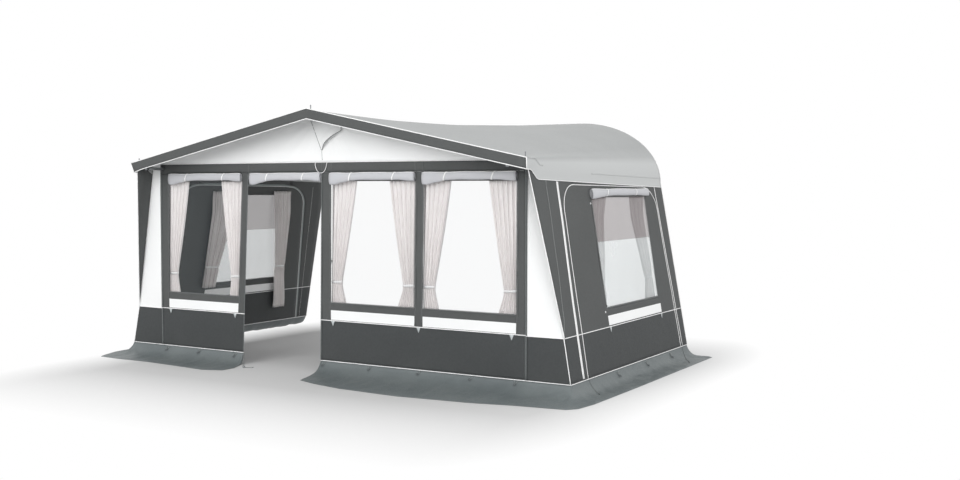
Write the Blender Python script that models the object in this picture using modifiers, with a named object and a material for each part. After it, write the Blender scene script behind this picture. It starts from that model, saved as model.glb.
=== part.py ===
"""Caravan awning with a gabled canopy: fabric panels on a frame of telescopic tubes.

Metres, +Z up, X along the front. "out" is the distance from the rear rail towards the
front of the awning, so it grows towards -Y. The origin is on the ground, in the middle of
the awning's bounding box.
"""

import math

import bmesh
import bpy
from mathutils import Matrix, Vector

# Gauges and clearances
GAP = 0.0003
FABRIC = 0.002
FOIL = 0.0008
OVERRUN = 0.02
SIDES = 16

# Ground plan: distances from the rear rail
FRONT_OUT = 2.80
CANOPY_REACH = 0.268
CANOPY_OUT = FRONT_OUT + CANOPY_REACH
APRON_REACH = 0.65
WALL_Y = (FRONT_OUT + APRON_REACH) / 2

# Heights: the roof's set the header's, and the header's set the windows'
WALL_FOOT = 0.11
BAND_TOP = 0.492
RIDGE_Z = 2.460
CANOPY_FALL = 0.475
CANOPY_Z = RIDGE_Z - CANOPY_FALL
HEADER_CLEAR = 0.005
HEADER_HEIGHT = 0.096
HEADER_TOP = CANOPY_Z - HEADER_CLEAR
HEADER_FOOT = HEADER_TOP - HEADER_HEIGHT

# The leaning side walls: half width at the ground, and how it changes upwards and outwards
SIDE_X = 2.5567
SIDE_LEAN_SHARE = 0.1837
SIDE_SPLAY_SHARE = 0.0086

# Places along the front: the corner zips follow the sides, and the bays follow the zips
ZIP_INSET = 0.4207
ZIP_X = SIDE_X - ZIP_INSET
DRAWN_ZIP_X = 2.136
BAY_SHARE = ZIP_X / DRAWN_ZIP_X

# Roof: gable at the canopy, rounded rail profile at the rear
CANOPY_OVERHANG = 0.144
CANOPY_X = ZIP_X + CANOPY_OVERHANG
RAIL_CORNER = 0.836
RAIL_FALL = 0.020
RAIL_ROUND_FALL = 0.640
RAIL_Z = RIDGE_Z - RAIL_FALL
RAIL_FLAT = ZIP_X - RAIL_CORNER
RAIL_ROUND_Z = RAIL_Z - RAIL_ROUND_FALL
EAVE_ANGLE = math.radians(25)
ROOF_SAG = 0.028
VALANCE_DROP = 0.093
VALANCE_RISE = 0.002
FLAP_FRONT_DROP = 0.174
FLAP_REAR_DROP = 0.052
FLAP_CANOPY_Z = CANOPY_Z - VALANCE_DROP
FLAP_FRONT_Z = CANOPY_Z - FLAP_FRONT_DROP
FLAP_REAR_Z = RAIL_ROUND_Z - FLAP_REAR_DROP
FLAP_STAND = FABRIC / 2 + GAP + FABRIC
FLAP_CANOPY_STAND = 0.044
FLAT_STEPS = 2
ROUND_STEPS = 6
FLAP_STEPS = 3
CANOPY_STEPS = 6
SPAN_STEPS = 5
ROOF_TUCK = 0.004
WALL_LAP = 0.055
KEDER_R = 0.0035

# Front wall: edges of the bays, with the door bay between the first two panels
DRAWN_DOOR_LEFT_TOP = -0.940
DOOR_LEFT_TOP = DRAWN_DOOR_LEFT_TOP * BAY_SHARE
DRAWN_DOOR_LEFT_FOOT = -1.026
DOOR_LEFT_FOOT = DRAWN_DOOR_LEFT_FOOT * BAY_SHARE
DRAWN_DOOR_RIGHT_TOP = -0.035
DOOR_RIGHT_TOP = DRAWN_DOOR_RIGHT_TOP * BAY_SHARE
DRAWN_DOOR_RIGHT_FOOT = -0.059
DOOR_RIGHT_FOOT = DRAWN_DOOR_RIGHT_FOOT * BAY_SHARE
PANE_FOOT = 0.668
PANE_HEAD = 0.084
PANE_TOP = HEADER_FOOT - PANE_HEAD
DRAWN_PANES = {
    "window_left": ((-2.036, -1.083), (-2.026, -1.021)),
    "window_middle": ((0.066, 1.006), (0.074, 1.022)),
    "window_right": ((1.094, 2.042), (1.106, 2.052)),
}
PANES = {}
for pane_name, pane_edges in DRAWN_PANES.items():
    PANES[pane_name] = tuple(tuple(x * BAY_SHARE for x in pair) for pair in pane_edges)
BLIND_HEIGHT = 0.096
BLIND_DEPTH = 0.036
BLIND_LAP = 0.002
BLIND_TOP = HEADER_FOOT + BLIND_LAP
BLIND_DROOP = 0.030
BLIND_SINK = 0.001

# Corner panels: the seam on the side wall, from under the roof to the corner of the band
SEAM_TOP_REACH = {"left": 0.025, "right": -0.100}
CORNER_INSET = 0.011
FLAP_STEP_REACH = 0.144
TIP_REACH = {"left": 0.235, "right": 0.160}
SEAM_TOP_OUT = {}
TIP_OUT = {}
for corner_side in ("left", "right"):
    SEAM_TOP_OUT[corner_side] = FRONT_OUT + SEAM_TOP_REACH[corner_side]
    TIP_OUT[corner_side] = FRONT_OUT + TIP_REACH[corner_side]
CORNER_OUT = FRONT_OUT - CORNER_INSET
FLAP_STEP_OUT = FRONT_OUT + FLAP_STEP_REACH
SEAM_TUCK = FABRIC / 2 + GAP + FABRIC * 0.6
CORNER_COLUMNS = 4
CORNER_ROWS = 6

# Side walls: the round-topped panel that zips out, and its window
PANEL_FRONT_INSET = 0.337
PANEL_TAPER = 0.057
PANEL_FRONT_FOOT = FRONT_OUT - PANEL_FRONT_INSET
PANEL_FRONT_SHOULDER = PANEL_FRONT_FOOT - PANEL_TAPER
PANEL_REAR_FOOT = 0.190
PANEL_REAR_SHOULDER = 0.228
PANEL_HEAD = 0.043
PANEL_ARCH = 0.253
PANEL_TOP_Z = FLAP_FRONT_Z - PANEL_HEAD
PANEL_SHOULDER_Z = PANEL_TOP_Z - PANEL_ARCH
PANEL_TOP_FALL = 0.020
PANEL_ROUND = 0.260
SIDE_PANE_INSET = 0.613
SIDE_PANE_TAPER = 0.050
SIDE_PANE_FRONT_FOOT = PANEL_FRONT_FOOT - SIDE_PANE_INSET
SIDE_PANE_FRONT_TOP = SIDE_PANE_FRONT_FOOT - SIDE_PANE_TAPER
SIDE_PANE_REAR_TOP = 0.520
SIDE_PANE_REAR_FOOT = 0.590
SIDE_PANE_FOOT = 0.660
SIDE_BLIND_HEAD = 0.033
SIDE_BLIND_TOP = PANEL_TOP_Z - SIDE_BLIND_HEAD
SIDE_BLIND_HEIGHT = 0.085
SIDE_BLIND_LAP = 0.010
SIDE_BLIND_REACH = 0.025
SIDE_BLIND_FRONT = SIDE_PANE_FRONT_TOP + SIDE_BLIND_REACH
SIDE_BLIND_REAR = 0.450
SIDE_PANE_TOP = SIDE_BLIND_TOP - SIDE_BLIND_HEIGHT + SIDE_BLIND_LAP

# Tubes of the frame
TUBE_R = 0.014
TUBE_WALL = 0.0011
COLLAR_R = 0.0195
COLLAR_LENGTH = 0.050
COLLAR_GRIP = 0.030
BOSS_R = 0.007
BOSS_REACH = 0.010
KNOB_R = 0.011
KNOB_THICK = 0.010
WING_SPAN = 0.038
WING_WIDTH = 0.009
WING_HEIGHT = 0.016
LAP = 0.320

POST_SIDE_INSET = 0.046
POST_X = ZIP_X - POST_SIDE_INSET
POST_INSET = 0.065
POST_OUT = FRONT_OUT - POST_INSET
EAVE_POLE_DROP = 0.050
EAVE_POLE_Z = HEADER_TOP - EAVE_POLE_DROP
RIDGE_POLE_DROP = 0.072
RIDGE_POLE_Z = RIDGE_Z - RIDGE_POLE_DROP
FRAME_INSET = 0.038
FRAME_OUT = CANOPY_OUT - FRAME_INSET
POLE_JOINT_OUT = 1.450
PAD_R = 0.030
PAD_THICK = 0.012
POST_JOINT_Z = 1.050
POST_LIFT = 0.012
FOOT_R = 0.042
FOOT_THICK = 0.006
FOOT_SOCKET = 0.045
HEAD_R = 0.0215
HEAD_WIDTH = 0.040
HEAD_BITE = 0.004
RAFTER_CLEAR = 0.0025
RAFTER_START = 0.030
RAFTER_JOINT = 1.150
RAFTER_SETBACK = 0.004
PLUG_LENGTH = 0.060
PIN_R = 0.005
PIN_RISE = 0.040
PIN_INSET = 0.030
PIN_OUT = FRAME_OUT - PIN_INSET
PIN_SIDE_REACH = 0.144
PIN_X = POST_X + PIN_SIDE_REACH
BLOCK = 0.030
RAIL_R = 0.008
CURTAIN_RAIL_DROP = 0.022
CURTAIN_RAIL_Z = HEADER_FOOT - CURTAIN_RAIL_DROP
RAIL_END = 0.030
CLIP_WIDTH = 0.014

# Curtains: edges along the wall at the top, at the tie and at the hem
CURTAIN_TIE_Z = 0.860
CURTAIN_HEM_Z = 0.630
CURTAIN_PLEATS = 5
CURTAIN_FOLD = 0.012
CURTAIN_REACH = 0.030
CURTAIN_OUT = POST_OUT + CURTAIN_REACH
DRAWN_CURTAINS = {
    "curtain_front_1": ((-2.055, -1.762), (-2.055, -1.938), (-2.060, -1.905)),
    "curtain_front_2": ((-1.333, -1.040), (-1.214, -1.092), (-1.235, -1.095)),
    "curtain_front_3": ((0.065, 0.358), (0.056, 0.178), (0.050, 0.222)),
    "curtain_front_4": ((0.711, 1.006), (0.860, 0.986), (0.800, 0.990)),
    "curtain_front_5": ((1.083, 1.380), (1.078, 1.206), (1.082, 1.246)),
    "curtain_front_6": ((1.751, 2.040), (1.904, 2.036), (1.846, 2.040)),
}
FRONT_CURTAINS = {}
for curtain_name, curtain_edges in DRAWN_CURTAINS.items():
    FRONT_CURTAINS[curtain_name] = tuple(tuple(x * BAY_SHARE for x in pair) for pair in curtain_edges)
SIDE_CURTAINS = {
    "front": ((1.420, 1.800), (1.710, 1.930), (1.750, 1.945)),
    "rear": ((0.490, 0.880), (0.560, 0.700), (0.550, 0.790)),
}
SIDE_CURTAIN_RISE = 0.040
SIDE_CURTAIN_TOP = SIDE_PANE_TOP + SIDE_CURTAIN_RISE
SIDE_CURTAIN_STAND = 0.030

# Vent flap in the gable, and the cords
HINGE_LEFT_X = -0.160
HINGE_RIGHT_X = 0.195
HINGE_DROP = 0.090
HINGE_FALL = 0.026
HINGE_LEFT_Z = RIDGE_Z - HINGE_DROP
HINGE_RIGHT_Z = HINGE_LEFT_Z - HINGE_FALL
FLAP_CORNER_X = 0.212
FLAP_CORNER_DROP = 0.104
FLAP_CORNER_Z = HINGE_LEFT_Z - FLAP_CORNER_DROP
FLAP_TIP_X = -0.037
FLAP_TIP_DROP = 0.278
FLAP_TIP_Z = HINGE_LEFT_Z - FLAP_TIP_DROP
FLAP_TIP_WIDTH = 0.012
FLAP_LIFT = 0.040
FLAP_SEAT = FABRIC + GAP
FLAP_ROWS = 7
FLAP_COLUMNS = 5
CORD_R = 0.003
CORD_END_RISE = 0.016
CORD_END_Z = HEADER_TOP + CORD_END_RISE
LOOP_HALF = 0.068
LOOP_DROP = 0.098
LOOP_STAND = 0.010
LOOP_POINTS = 13

# Apron: shares of the reach and of the wall's foot height along its section
APRON_SECTION_SHARES = ((0.0, 1.0), (0.07, 0.60), (0.20, 0.27), (0.40, 0.08), (0.62, 0.0), (1.0, 0.0))
APRON_SIDE_REACH = 0.275
APRON_END = 0.012
# Stations along the front from the door to the corner: place, sideways and outward shares
RIGHT_APRON_SHARES = ((0.0, 0.20, 0.70), (0.10, 0.12, 0.82), (0.25, 0.04, 0.94),
                      (0.50, 0.0, 1.0), (0.75, 0.0, 0.90), (0.90, 0.02, 0.76))
LEFT_APRON_SHARES = ((0.0, -0.03, 0.14), (0.004, -0.17, 0.38), (0.02, -0.20, 0.62),
                     (0.08, -0.06, 0.74), (0.30, 0.0, 0.68), (0.60, 0.0, 0.62), (0.85, 0.0, 0.64))
# Round the corner: shares of the side reach and of the reach, then the steps to the rear
CORNER_APRON_SHARES = {
    "left": ((0.030, 0.17, 0.615), (0.0, 0.38, 0.446), (-0.030, 0.64, 0.23)),
    "right": ((0.030, 0.62, 0.675), (0.0, 0.86, 0.545), (-0.030, 0.97, 0.30)),
}
APRON_SIDE_STEPS = 4


def at(x, out, z):
    """A point from its place along the front, its distance from the rear rail and its height."""
    return Vector((x, WALL_Y - out, z))


def blend(first, second, share):
    """The value that lies this share of the way from the first to the second."""
    return first + (second - first) * share


def smooth(share):
    """A share from 0 to 1 eased at both ends, and held outside them."""
    held = min(max(share, 0.0), 1.0)
    return held * held * (3 - 2 * held)


def side_x(out, z):
    """Half width of the awning at the middle of a side wall's fabric."""
    return SIDE_X - SIDE_LEAN_SHARE * z + SIDE_SPLAY_SHARE * out


def clear_of(bore):
    """Radius of a round piece that slides in a bore, however the facets of the two lie."""
    return bore * math.cos(math.pi / SIDES) - GAP


def bore_for(radius):
    """Radius of a faceted bore that slides on a round piece."""
    return (radius + GAP) / math.cos(math.pi / SIDES)


BORE_R = TUBE_R - TUBE_WALL
INNER_R = clear_of(BORE_R)
INNER_BORE_R = INNER_R - TUBE_WALL
PLUG_R = clear_of(BORE_R)
INNER_PLUG_R = clear_of(INNER_BORE_R)


def clear_scene():
    """Removes whatever the scene holds."""
    for found in list(bpy.data.objects):
        bpy.data.objects.remove(found, do_unlink=True)


def collection(name, helper=False):
    """A new collection in the scene."""
    made = bpy.data.collections.new(name)
    bpy.context.scene.collection.children.link(made)
    made.hide_render = helper
    return made


def material(name, color, roughness, metallic=0.0, alpha=1.0):
    """A Principled material of one colour."""
    made = bpy.data.materials.new(name)
    made.use_nodes = True
    shader = made.node_tree.nodes["Principled BSDF"]
    shader.inputs["Base Color"].default_value = (*color, 1.0)
    shader.inputs["Roughness"].default_value = roughness
    shader.inputs["Metallic"].default_value = metallic
    shader.inputs["Alpha"].default_value = alpha
    made.diffuse_color = (*color, alpha)
    return made


def link(name, data, finish, matrix=None):
    """An object in the awning's collection, with its material and its place."""
    made = bpy.data.objects.new(name, data)
    AWNING.objects.link(made)
    data.materials.append(finish)
    made.matrix_world = matrix or Matrix.Identity(4)
    return made


def as_helper(obj):
    """Moves an object to the collection of cutters and joined pieces."""
    for holder in list(obj.users_collection):
        holder.objects.unlink(obj)
    HELPERS.objects.link(obj)
    obj.hide_render = True
    obj.display_type = "WIRE"
    return obj


def combine(obj, others, operation):
    """Adds a Boolean modifier for each of the other objects."""
    for other in others:
        modifier = obj.modifiers.new(operation.lower(), "BOOLEAN")
        modifier.operation = operation
        modifier.object = as_helper(other)
    return obj


def meshed(obj):
    """A mesh object in place of a curve, with the seams of its caps welded."""
    bpy.context.view_layer.update()
    graph = bpy.context.evaluated_depsgraph_get()
    mesh = bpy.data.meshes.new_from_object(obj.evaluated_get(graph))
    bm = bmesh.new()
    bm.from_mesh(mesh)
    bmesh.ops.remove_doubles(bm, verts=bm.verts, dist=GAP / 10)
    bmesh.ops.recalc_face_normals(bm, faces=bm.faces)
    bm.to_mesh(mesh)
    bm.free()
    name = obj.name
    matrix = obj.matrix_world.copy()
    finish = obj.data.materials[0]
    bpy.data.objects.remove(obj, do_unlink=True)
    mesh.materials.clear()
    return link(name, mesh, finish, matrix)


def loft(name, rows, finish, thickness=FABRIC, offset=-1.0):
    """A sheet through rows of points, given its thickness on the side away from its normal."""
    bm = bmesh.new()
    grid = [[bm.verts.new(point) for point in row] for row in rows]
    for upper, lower in zip(grid, grid[1:]):
        for left in range(len(upper) - 1):
            bm.faces.new((upper[left], lower[left], lower[left + 1], upper[left + 1]))
    mesh = bpy.data.meshes.new(name)
    bm.to_mesh(mesh)
    bm.free()
    made = link(name, mesh, finish)
    solid = made.modifiers.new("thickness", "SOLIDIFY")
    solid.thickness = thickness
    solid.offset = offset
    mesh.shade_smooth()
    return made


def ring_loft(name, rings, finish):
    """A closed body through rings of points, with a flat cap at each end."""
    bm = bmesh.new()
    grid = [[bm.verts.new(point) for point in ring] for ring in rings]
    count = len(grid[0])
    for first, second in zip(grid, grid[1:]):
        for place in range(count):
            after = (place + 1) % count
            bm.faces.new((first[place], first[after], second[after], second[place]))
    bm.faces.new(grid[0])
    bm.faces.new(grid[-1])
    bmesh.ops.recalc_face_normals(bm, faces=bm.faces)
    mesh = bpy.data.meshes.new(name)
    bm.to_mesh(mesh)
    bm.free()
    mesh.shade_smooth()
    return link(name, mesh, finish)


def flat_panel(name, outlines, matrix, finish, thickness=FABRIC):
    """A flat sheet cut to its first outline, with the other outlines as holes."""
    curve = bpy.data.curves.new(name, "CURVE")
    curve.dimensions = "2D"
    curve.fill_mode = "BOTH"
    curve.extrude = thickness / 2
    for outline in outlines:
        spline = curve.splines.new("POLY")
        spline.points.add(len(outline) - 1)
        for point, (across, up) in zip(spline.points, outline):
            point.co = (across, up, 0.0, 1.0)
        spline.use_cyclic_u = True
    return link(name, curve, finish, matrix)


def tube_along(name, points, radius, finish, resolution=2):
    """A round cord or wire along points."""
    curve = bpy.data.curves.new(name, "CURVE")
    curve.dimensions = "3D"
    curve.bevel_depth = radius
    curve.bevel_resolution = resolution
    curve.use_fill_caps = True
    spline = curve.splines.new("POLY")
    spline.points.add(len(points) - 1)
    for point, place in zip(spline.points, points):
        point.co = (*place, 1.0)
    return link(name, curve, finish)


def turned(name, profile, matrix, finish, closed=True):
    """A turned piece: a profile of radius and height about its local Z axis."""
    bm = bmesh.new()
    verts = [bm.verts.new((radius, 0.0, height)) for radius, height in profile]
    for first, second in zip(verts, verts[1:]):
        bm.edges.new((first, second))
    if closed:
        bm.edges.new((verts[-1], verts[0]))
    mesh = bpy.data.meshes.new(name)
    bm.to_mesh(mesh)
    bm.free()
    made = link(name, mesh, finish, matrix)
    screw = made.modifiers.new("turn", "SCREW")
    screw.steps = SIDES
    screw.render_steps = SIDES
    screw.use_merge_vertices = True
    screw.merge_threshold = 0.0001
    return made


def rod(name, start, end, radius, finish):
    """A solid round rod between two points."""
    length = (end - start).length
    profile = ((0.0, length), (radius, length), (radius, 0.0), (0.0, 0.0))
    return turned(name, profile, along(start, end), finish, closed=False)


def block(name, size, matrix, finish):
    """A rectangular block centred on its place."""
    bm = bmesh.new()
    bmesh.ops.create_cube(bm, size=1.0)
    bmesh.ops.scale(bm, vec=size, verts=bm.verts)
    mesh = bpy.data.meshes.new(name)
    bm.to_mesh(mesh)
    bm.free()
    return link(name, mesh, finish, matrix)


def along(start, end):
    """A frame at the start whose Z axis points to the end."""
    turn = (end - start).to_track_quat("Z", "Y")
    return Matrix.Translation(start) @ turn.to_matrix().to_4x4()


def front_frame(out):
    """The frame of a vertical panel: local X along the front, local Y up."""
    return Matrix.Translation(at(0.0, out, 0.0)) @ Matrix.Rotation(math.radians(90), 4, "X")


class SidePlane:
    """The leaning plane of one side wall, and places on it from distance out and height."""

    def __init__(self, sign):
        self.sign = sign
        self.origin = at(sign * side_x(0.0, 0.0), 0.0, 0.0)
        self.along = Vector((sign * SIDE_SPLAY_SHARE, -1.0, 0.0)).normalized()
        lean = Vector((-sign * SIDE_LEAN_SHARE, 0.0, 1.0))
        self.normal = self.along.cross(lean).normalized()
        self.up = self.normal.cross(self.along)
        self.outward = self.normal * (-sign)

    def point(self, out, z, stand=0.0):
        """A point on the wall, or standing off its outer side."""
        return at(self.sign * side_x(out, z), out, z) + self.outward * stand

    def flat(self, out, z):
        """The two local coordinates of a place on the wall."""
        offset = self.point(out, z) - self.origin
        return offset.dot(self.along), offset.dot(self.up)

    def matrix(self):
        """The local frame as a matrix."""
        turn = Matrix((self.along, self.up, self.normal)).transposed()
        return Matrix.Translation(self.origin) @ turn.to_4x4()


def flap_foot_z(out):
    """Height of the roof flap's lower edge: level under the canopy, then down in a curve."""
    if out > FRONT_OUT:
        share = (out - FRONT_OUT) / (FLAP_STEP_OUT - FRONT_OUT)
        return blend(FLAP_FRONT_Z, FLAP_CANOPY_Z, smooth(share))
    return blend(FLAP_REAR_Z, FLAP_FRONT_Z, out / FRONT_OUT)


def flap_stand(out):
    """How far the flap's lower edge stands off the middle of the side wall."""
    share = max(out - FRONT_OUT, 0.0) / (CANOPY_OUT - FRONT_OUT)
    return blend(FLAP_STAND, FLAP_CANOPY_STAND, share * share)


def rail_round(angle):
    """A point of the rail's rounded corner, as half width and height."""
    reach = side_x(0.0, RAIL_ROUND_Z) + FLAP_STAND - RAIL_FLAT
    rise = RAIL_Z - RAIL_ROUND_Z
    return RAIL_FLAT + reach * math.cos(angle), RAIL_ROUND_Z + rise * math.sin(angle)


def half_profile(out):
    """Points of the roof's right half at a distance out, from the ridge to the flap's edge."""
    share = 1 - out / CANOPY_OUT
    rear = [(RAIL_FLAT * step / FLAT_STEPS, RAIL_Z) for step in range(FLAT_STEPS)]
    quarter = math.pi / 2
    for step in range(ROUND_STEPS + 1):
        rear.append(rail_round(blend(quarter, EAVE_ANGLE, step / ROUND_STEPS)))
    eave_x = rear[-1][0]
    points = []
    for x, z in rear:
        front_x = x * CANOPY_X / eave_x
        front_z = blend(RIDGE_Z, CANOPY_Z, front_x / CANOPY_X)
        sag = ROOF_SAG * 4 * share * (1 - share) * (1 - x / eave_x)
        points.append((blend(front_x, x, share), blend(front_z, z, share) - sag))
    eave = points[-1]
    foot_z = flap_foot_z(out)
    foot = (side_x(out, foot_z) + flap_stand(out), foot_z)
    rear_foot = (side_x(0.0, FLAP_REAR_Z) + FLAP_STAND, FLAP_REAR_Z)
    for step in range(1, FLAP_STEPS + 1):
        down = step / FLAP_STEPS
        round_x, round_z = rear_foot
        if step < FLAP_STEPS:
            round_x, round_z = rail_round(EAVE_ANGLE * (1 - step / (FLAP_STEPS - 1)))
        bulge_x = round_x - blend(rear[-1][0], rear_foot[0], down)
        bulge_z = round_z - blend(rear[-1][1], rear_foot[1], down)
        x = blend(eave[0], foot[0], down) + bulge_x * share
        z = blend(eave[1], foot[1], down) + bulge_z * share
        points.append((x, z))
    return points


def roof_z(x, out):
    """Height of the roof's outer face above a place between the eaves."""
    points = half_profile(out)[: FLAT_STEPS + ROUND_STEPS + 1]
    for (near_x, near_z), (far_x, far_z) in zip(points, points[1:]):
        if abs(x) <= far_x:
            return blend(near_z, far_z, (abs(x) - near_x) / (far_x - near_x))
    return points[-1][1]


def roof_row(out):
    """The whole roof profile at a distance out, from the left flap's edge to the right one's."""
    right = half_profile(out)
    left = [(-x, z) for x, z in reversed(right[1:])]
    return [at(x, out, z) for x, z in left + right]


def build_roof():
    """The roof sheet with its side flaps, pierced for the three pins of the frame."""
    start = CANOPY_OUT - FABRIC - GAP
    end = 2 * KEDER_R + GAP
    outs = [blend(start, FRONT_OUT, step / CANOPY_STEPS) for step in range(CANOPY_STEPS)]
    outs += [blend(FRONT_OUT, end, step / SPAN_STEPS) for step in range(SPAN_STEPS + 1)]
    roof = loft("roof_panel", [roof_row(out) for out in outs], ROOF_GREY)
    for x in (-PIN_X, 0.0, PIN_X):
        foot = at(x, PIN_OUT, roof_z(x, PIN_OUT) - OVERRUN)
        top = at(x, PIN_OUT, roof_z(x, PIN_OUT) + OVERRUN)
        combine(roof, [rod("pin_hole", foot, top, bore_for(PIN_R), ROOF_GREY)], "DIFFERENCE")


def build_valance():
    """The dark gabled strip along the canopy's front edge."""
    top = RIDGE_Z + VALANCE_RISE
    eave = CANOPY_Z + VALANCE_RISE
    outline = (
        (-CANOPY_X, eave),
        (-CANOPY_X, eave - VALANCE_DROP - VALANCE_RISE),
        (0.0, top - VALANCE_DROP - VALANCE_RISE),
        (CANOPY_X, eave - VALANCE_DROP - VALANCE_RISE),
        (CANOPY_X, eave),
        (0.0, top),
    )
    flat_panel("valance", [outline], front_frame(CANOPY_OUT - FABRIC / 2), DARK_GREY)


def circle(x, z, radius):
    """A round hole's outline."""
    turns = [2 * math.pi * step / SIDES for step in range(SIDES)]
    return [(x + radius * math.cos(turn), z + radius * math.sin(turn)) for turn in turns]


def build_gable():
    """The white gable panel between the header and the roof, with the ridge pole's hole."""
    edge = ZIP_X - GAP
    places = [x for x, z in half_profile(FRONT_OUT) if x < edge]
    rising = [-edge] + [-x for x in reversed(places[1:])]
    across = rising + places + [edge]
    top = [(x, roof_z(x, FRONT_OUT) - ROOF_TUCK) for x in across]
    outline = [(edge, HEADER_TOP + GAP), (-edge, HEADER_TOP + GAP)] + top
    hole = circle(0.0, RIDGE_POLE_Z, bore_for(TUBE_R))
    flat_panel("gable_panel", [outline, hole], front_frame(FRONT_OUT), WHITE)


def build_header():
    """The dark band over the front wall, with the eave poles' holes and the cord's loop."""
    edge = ZIP_X - GAP
    outline = ((-edge, HEADER_FOOT), (edge, HEADER_FOOT), (edge, HEADER_TOP), (-edge, HEADER_TOP))
    holes = [circle(x, EAVE_POLE_Z, bore_for(TUBE_R)) for x in (-POST_X, POST_X)]
    band = flat_panel("header_band", [outline, *holes], front_frame(FRONT_OUT), DARK_GREY)
    band = meshed(band)
    root = HEADER_TOP - 2 * CORD_R
    points = [at(FLAP_TIP_X - LOOP_HALF, FRONT_OUT, root)]
    for step in range(LOOP_POINTS):
        turn = math.pi * step / (LOOP_POINTS - 1)
        x = FLAP_TIP_X - LOOP_HALF * math.cos(turn)
        points.append(at(x, FRONT_OUT + LOOP_STAND, root - LOOP_DROP * math.sin(turn)))
    points.append(at(FLAP_TIP_X + LOOP_HALF, FRONT_OUT, root))
    combine(band, [meshed(tube_along("cord_loop", points, CORD_R, WHITE))], "UNION")


def build_vent_flap():
    """The three-cornered vent flap, puffed along its free edge, with its pull cord."""
    base = FRONT_OUT + FLAP_SEAT
    hinge_left = Vector((HINGE_LEFT_X, HINGE_LEFT_Z))
    hinge_right = Vector((HINGE_RIGHT_X, HINGE_RIGHT_Z))
    corner = Vector((FLAP_CORNER_X, FLAP_CORNER_Z))
    tip = Vector((FLAP_TIP_X, FLAP_TIP_Z))
    tip_right = tip + Vector((FLAP_TIP_WIDTH, 0.0))
    rows = []
    for row in range(FLAP_ROWS):
        down = row / (FLAP_ROWS - 1)
        left = blend(hinge_left, tip, down)
        if row < 2:
            right = blend(hinge_right, corner, row)
        else:
            after = (row - 1) / (FLAP_ROWS - 2)
            right = blend(corner, tip_right, after)
            right.x -= FLAP_LIFT * math.sin(math.pi * after)
        points = []
        for column in range(FLAP_COLUMNS):
            across = column / (FLAP_COLUMNS - 1)
            place = blend(left, right, across)
            lift = FLAP_LIFT * math.sin(math.pi * min(down, 1.0)) * across ** 2
            points.append(at(place.x, base + lift, place.y))
        rows.append(points)
    flap = loft("vent_flap", rows, WHITE, offset=0.0)
    start = at(FLAP_TIP_X + FLAP_TIP_WIDTH / 2, base + CORD_R / 2, FLAP_TIP_Z + 2 * CORD_R)
    turn = at(FLAP_TIP_X + FLAP_TIP_WIDTH / 2, base + CORD_R / 2, FLAP_TIP_Z - 2 * CORD_R)
    end = at(FLAP_TIP_X + FLAP_TIP_WIDTH, base + CORD_R / 2, CORD_END_Z)
    combine(flap, [meshed(tube_along("pull_cord", (start, turn, end), CORD_R / 2, WHITE))], "UNION")


def blind(name, place, start, end, top, height, finish):
    """A rolled blind or door panel, drooping where its left end isn't tied."""
    stations_shares = (0.0, 0.03, 0.18, 0.25, 0.45, 0.60, 0.76, 0.82, 0.97, 1.0)
    height_shares = (0.80, 1.0, 0.84, 0.78, 0.88, 0.90, 0.78, 0.84, 0.95, 0.80)
    droop_shares = (0.90, 1.0, 0.15, 0.0, 0.0, 0.05, 0.0, 0.0, 0.25, 0.22)
    rings = []
    for station, tall, droop in zip(stations_shares, height_shares, droop_shares):
        low = top - height - BLIND_DROOP * droop
        high = top - height * (1 - tall) * 0.4
        middle = (low + high) / 2
        ring = []
        for step in range(10):
            turn = 2 * math.pi * step / 10
            depth = BLIND_DEPTH / 2 * (1 + math.cos(turn))
            ring.append(place(blend(start, end, station), depth, middle + (high - low) / 2 * math.sin(turn)))
        rings.append(ring)
    return ring_loft(name, rings, finish)


def front_blind(name, start, end, sunk):
    """A rolled blind on the outer face of the front wall."""
    face = FRONT_OUT + FABRIC / 2 + (-BLIND_SINK if sunk else GAP)
    return blind(
        name,
        lambda x, depth, z: at(x, face + depth, z),
        start,
        end,
        BLIND_TOP,
        BLIND_HEIGHT,
        PALE_GREY,
    )


def pane_outline(name, inset):
    """The quadrilateral of a front window, drawn in by an inset."""
    (foot_left, foot_right), (top_left, top_right) = PANES[name]
    return (
        (foot_left + inset, PANE_FOOT + inset),
        (foot_right - inset, PANE_FOOT + inset),
        (top_right - inset, PANE_TOP - inset),
        (top_left + inset, PANE_TOP - inset),
    )


def build_front():
    """The two front panels with their windows and rolled blinds, and the rolled door."""
    edge = ZIP_X - GAP
    top = HEADER_FOOT - GAP
    left = ((-edge, WALL_FOOT), (DOOR_LEFT_FOOT, WALL_FOOT), (DOOR_LEFT_TOP, top), (-edge, top))
    right = ((DOOR_RIGHT_FOOT, WALL_FOOT), (edge, WALL_FOOT), (edge, top), (DOOR_RIGHT_TOP, top))
    frame = front_frame(FRONT_OUT)
    panels = (
        ("front_panel_left", left, ("window_left",)),
        ("front_panel_right", right, ("window_middle", "window_right")),
    )
    for name, outline, windows in panels:
        outlines = [outline] + [pane_outline(window, 0.0) for window in windows]
        panel = meshed(flat_panel(name, outlines, frame, DARK_GREY))
        for window in windows:
            (_, _), (pane_left, pane_right) = PANES[window]
            roll = front_blind("blind", pane_left, pane_right, sunk=True)
            combine(panel, [roll], "UNION")
            flat_panel(window, [pane_outline(window, GAP)], frame, CLEAR_FOIL, FOIL)
    front_blind("door_roll", DOOR_LEFT_TOP + BLIND_DEPTH, DOOR_RIGHT_TOP - GAP, sunk=False)


def seam_top_z(out):
    """Height at which the seam on the side wall meets the roof's underside."""
    z = CANOPY_Z
    for _ in range(ROUND_STEPS):
        z = roof_z(side_x(out, z) - SEAM_TUCK, out) - ROOF_TUCK
    return z


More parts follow.
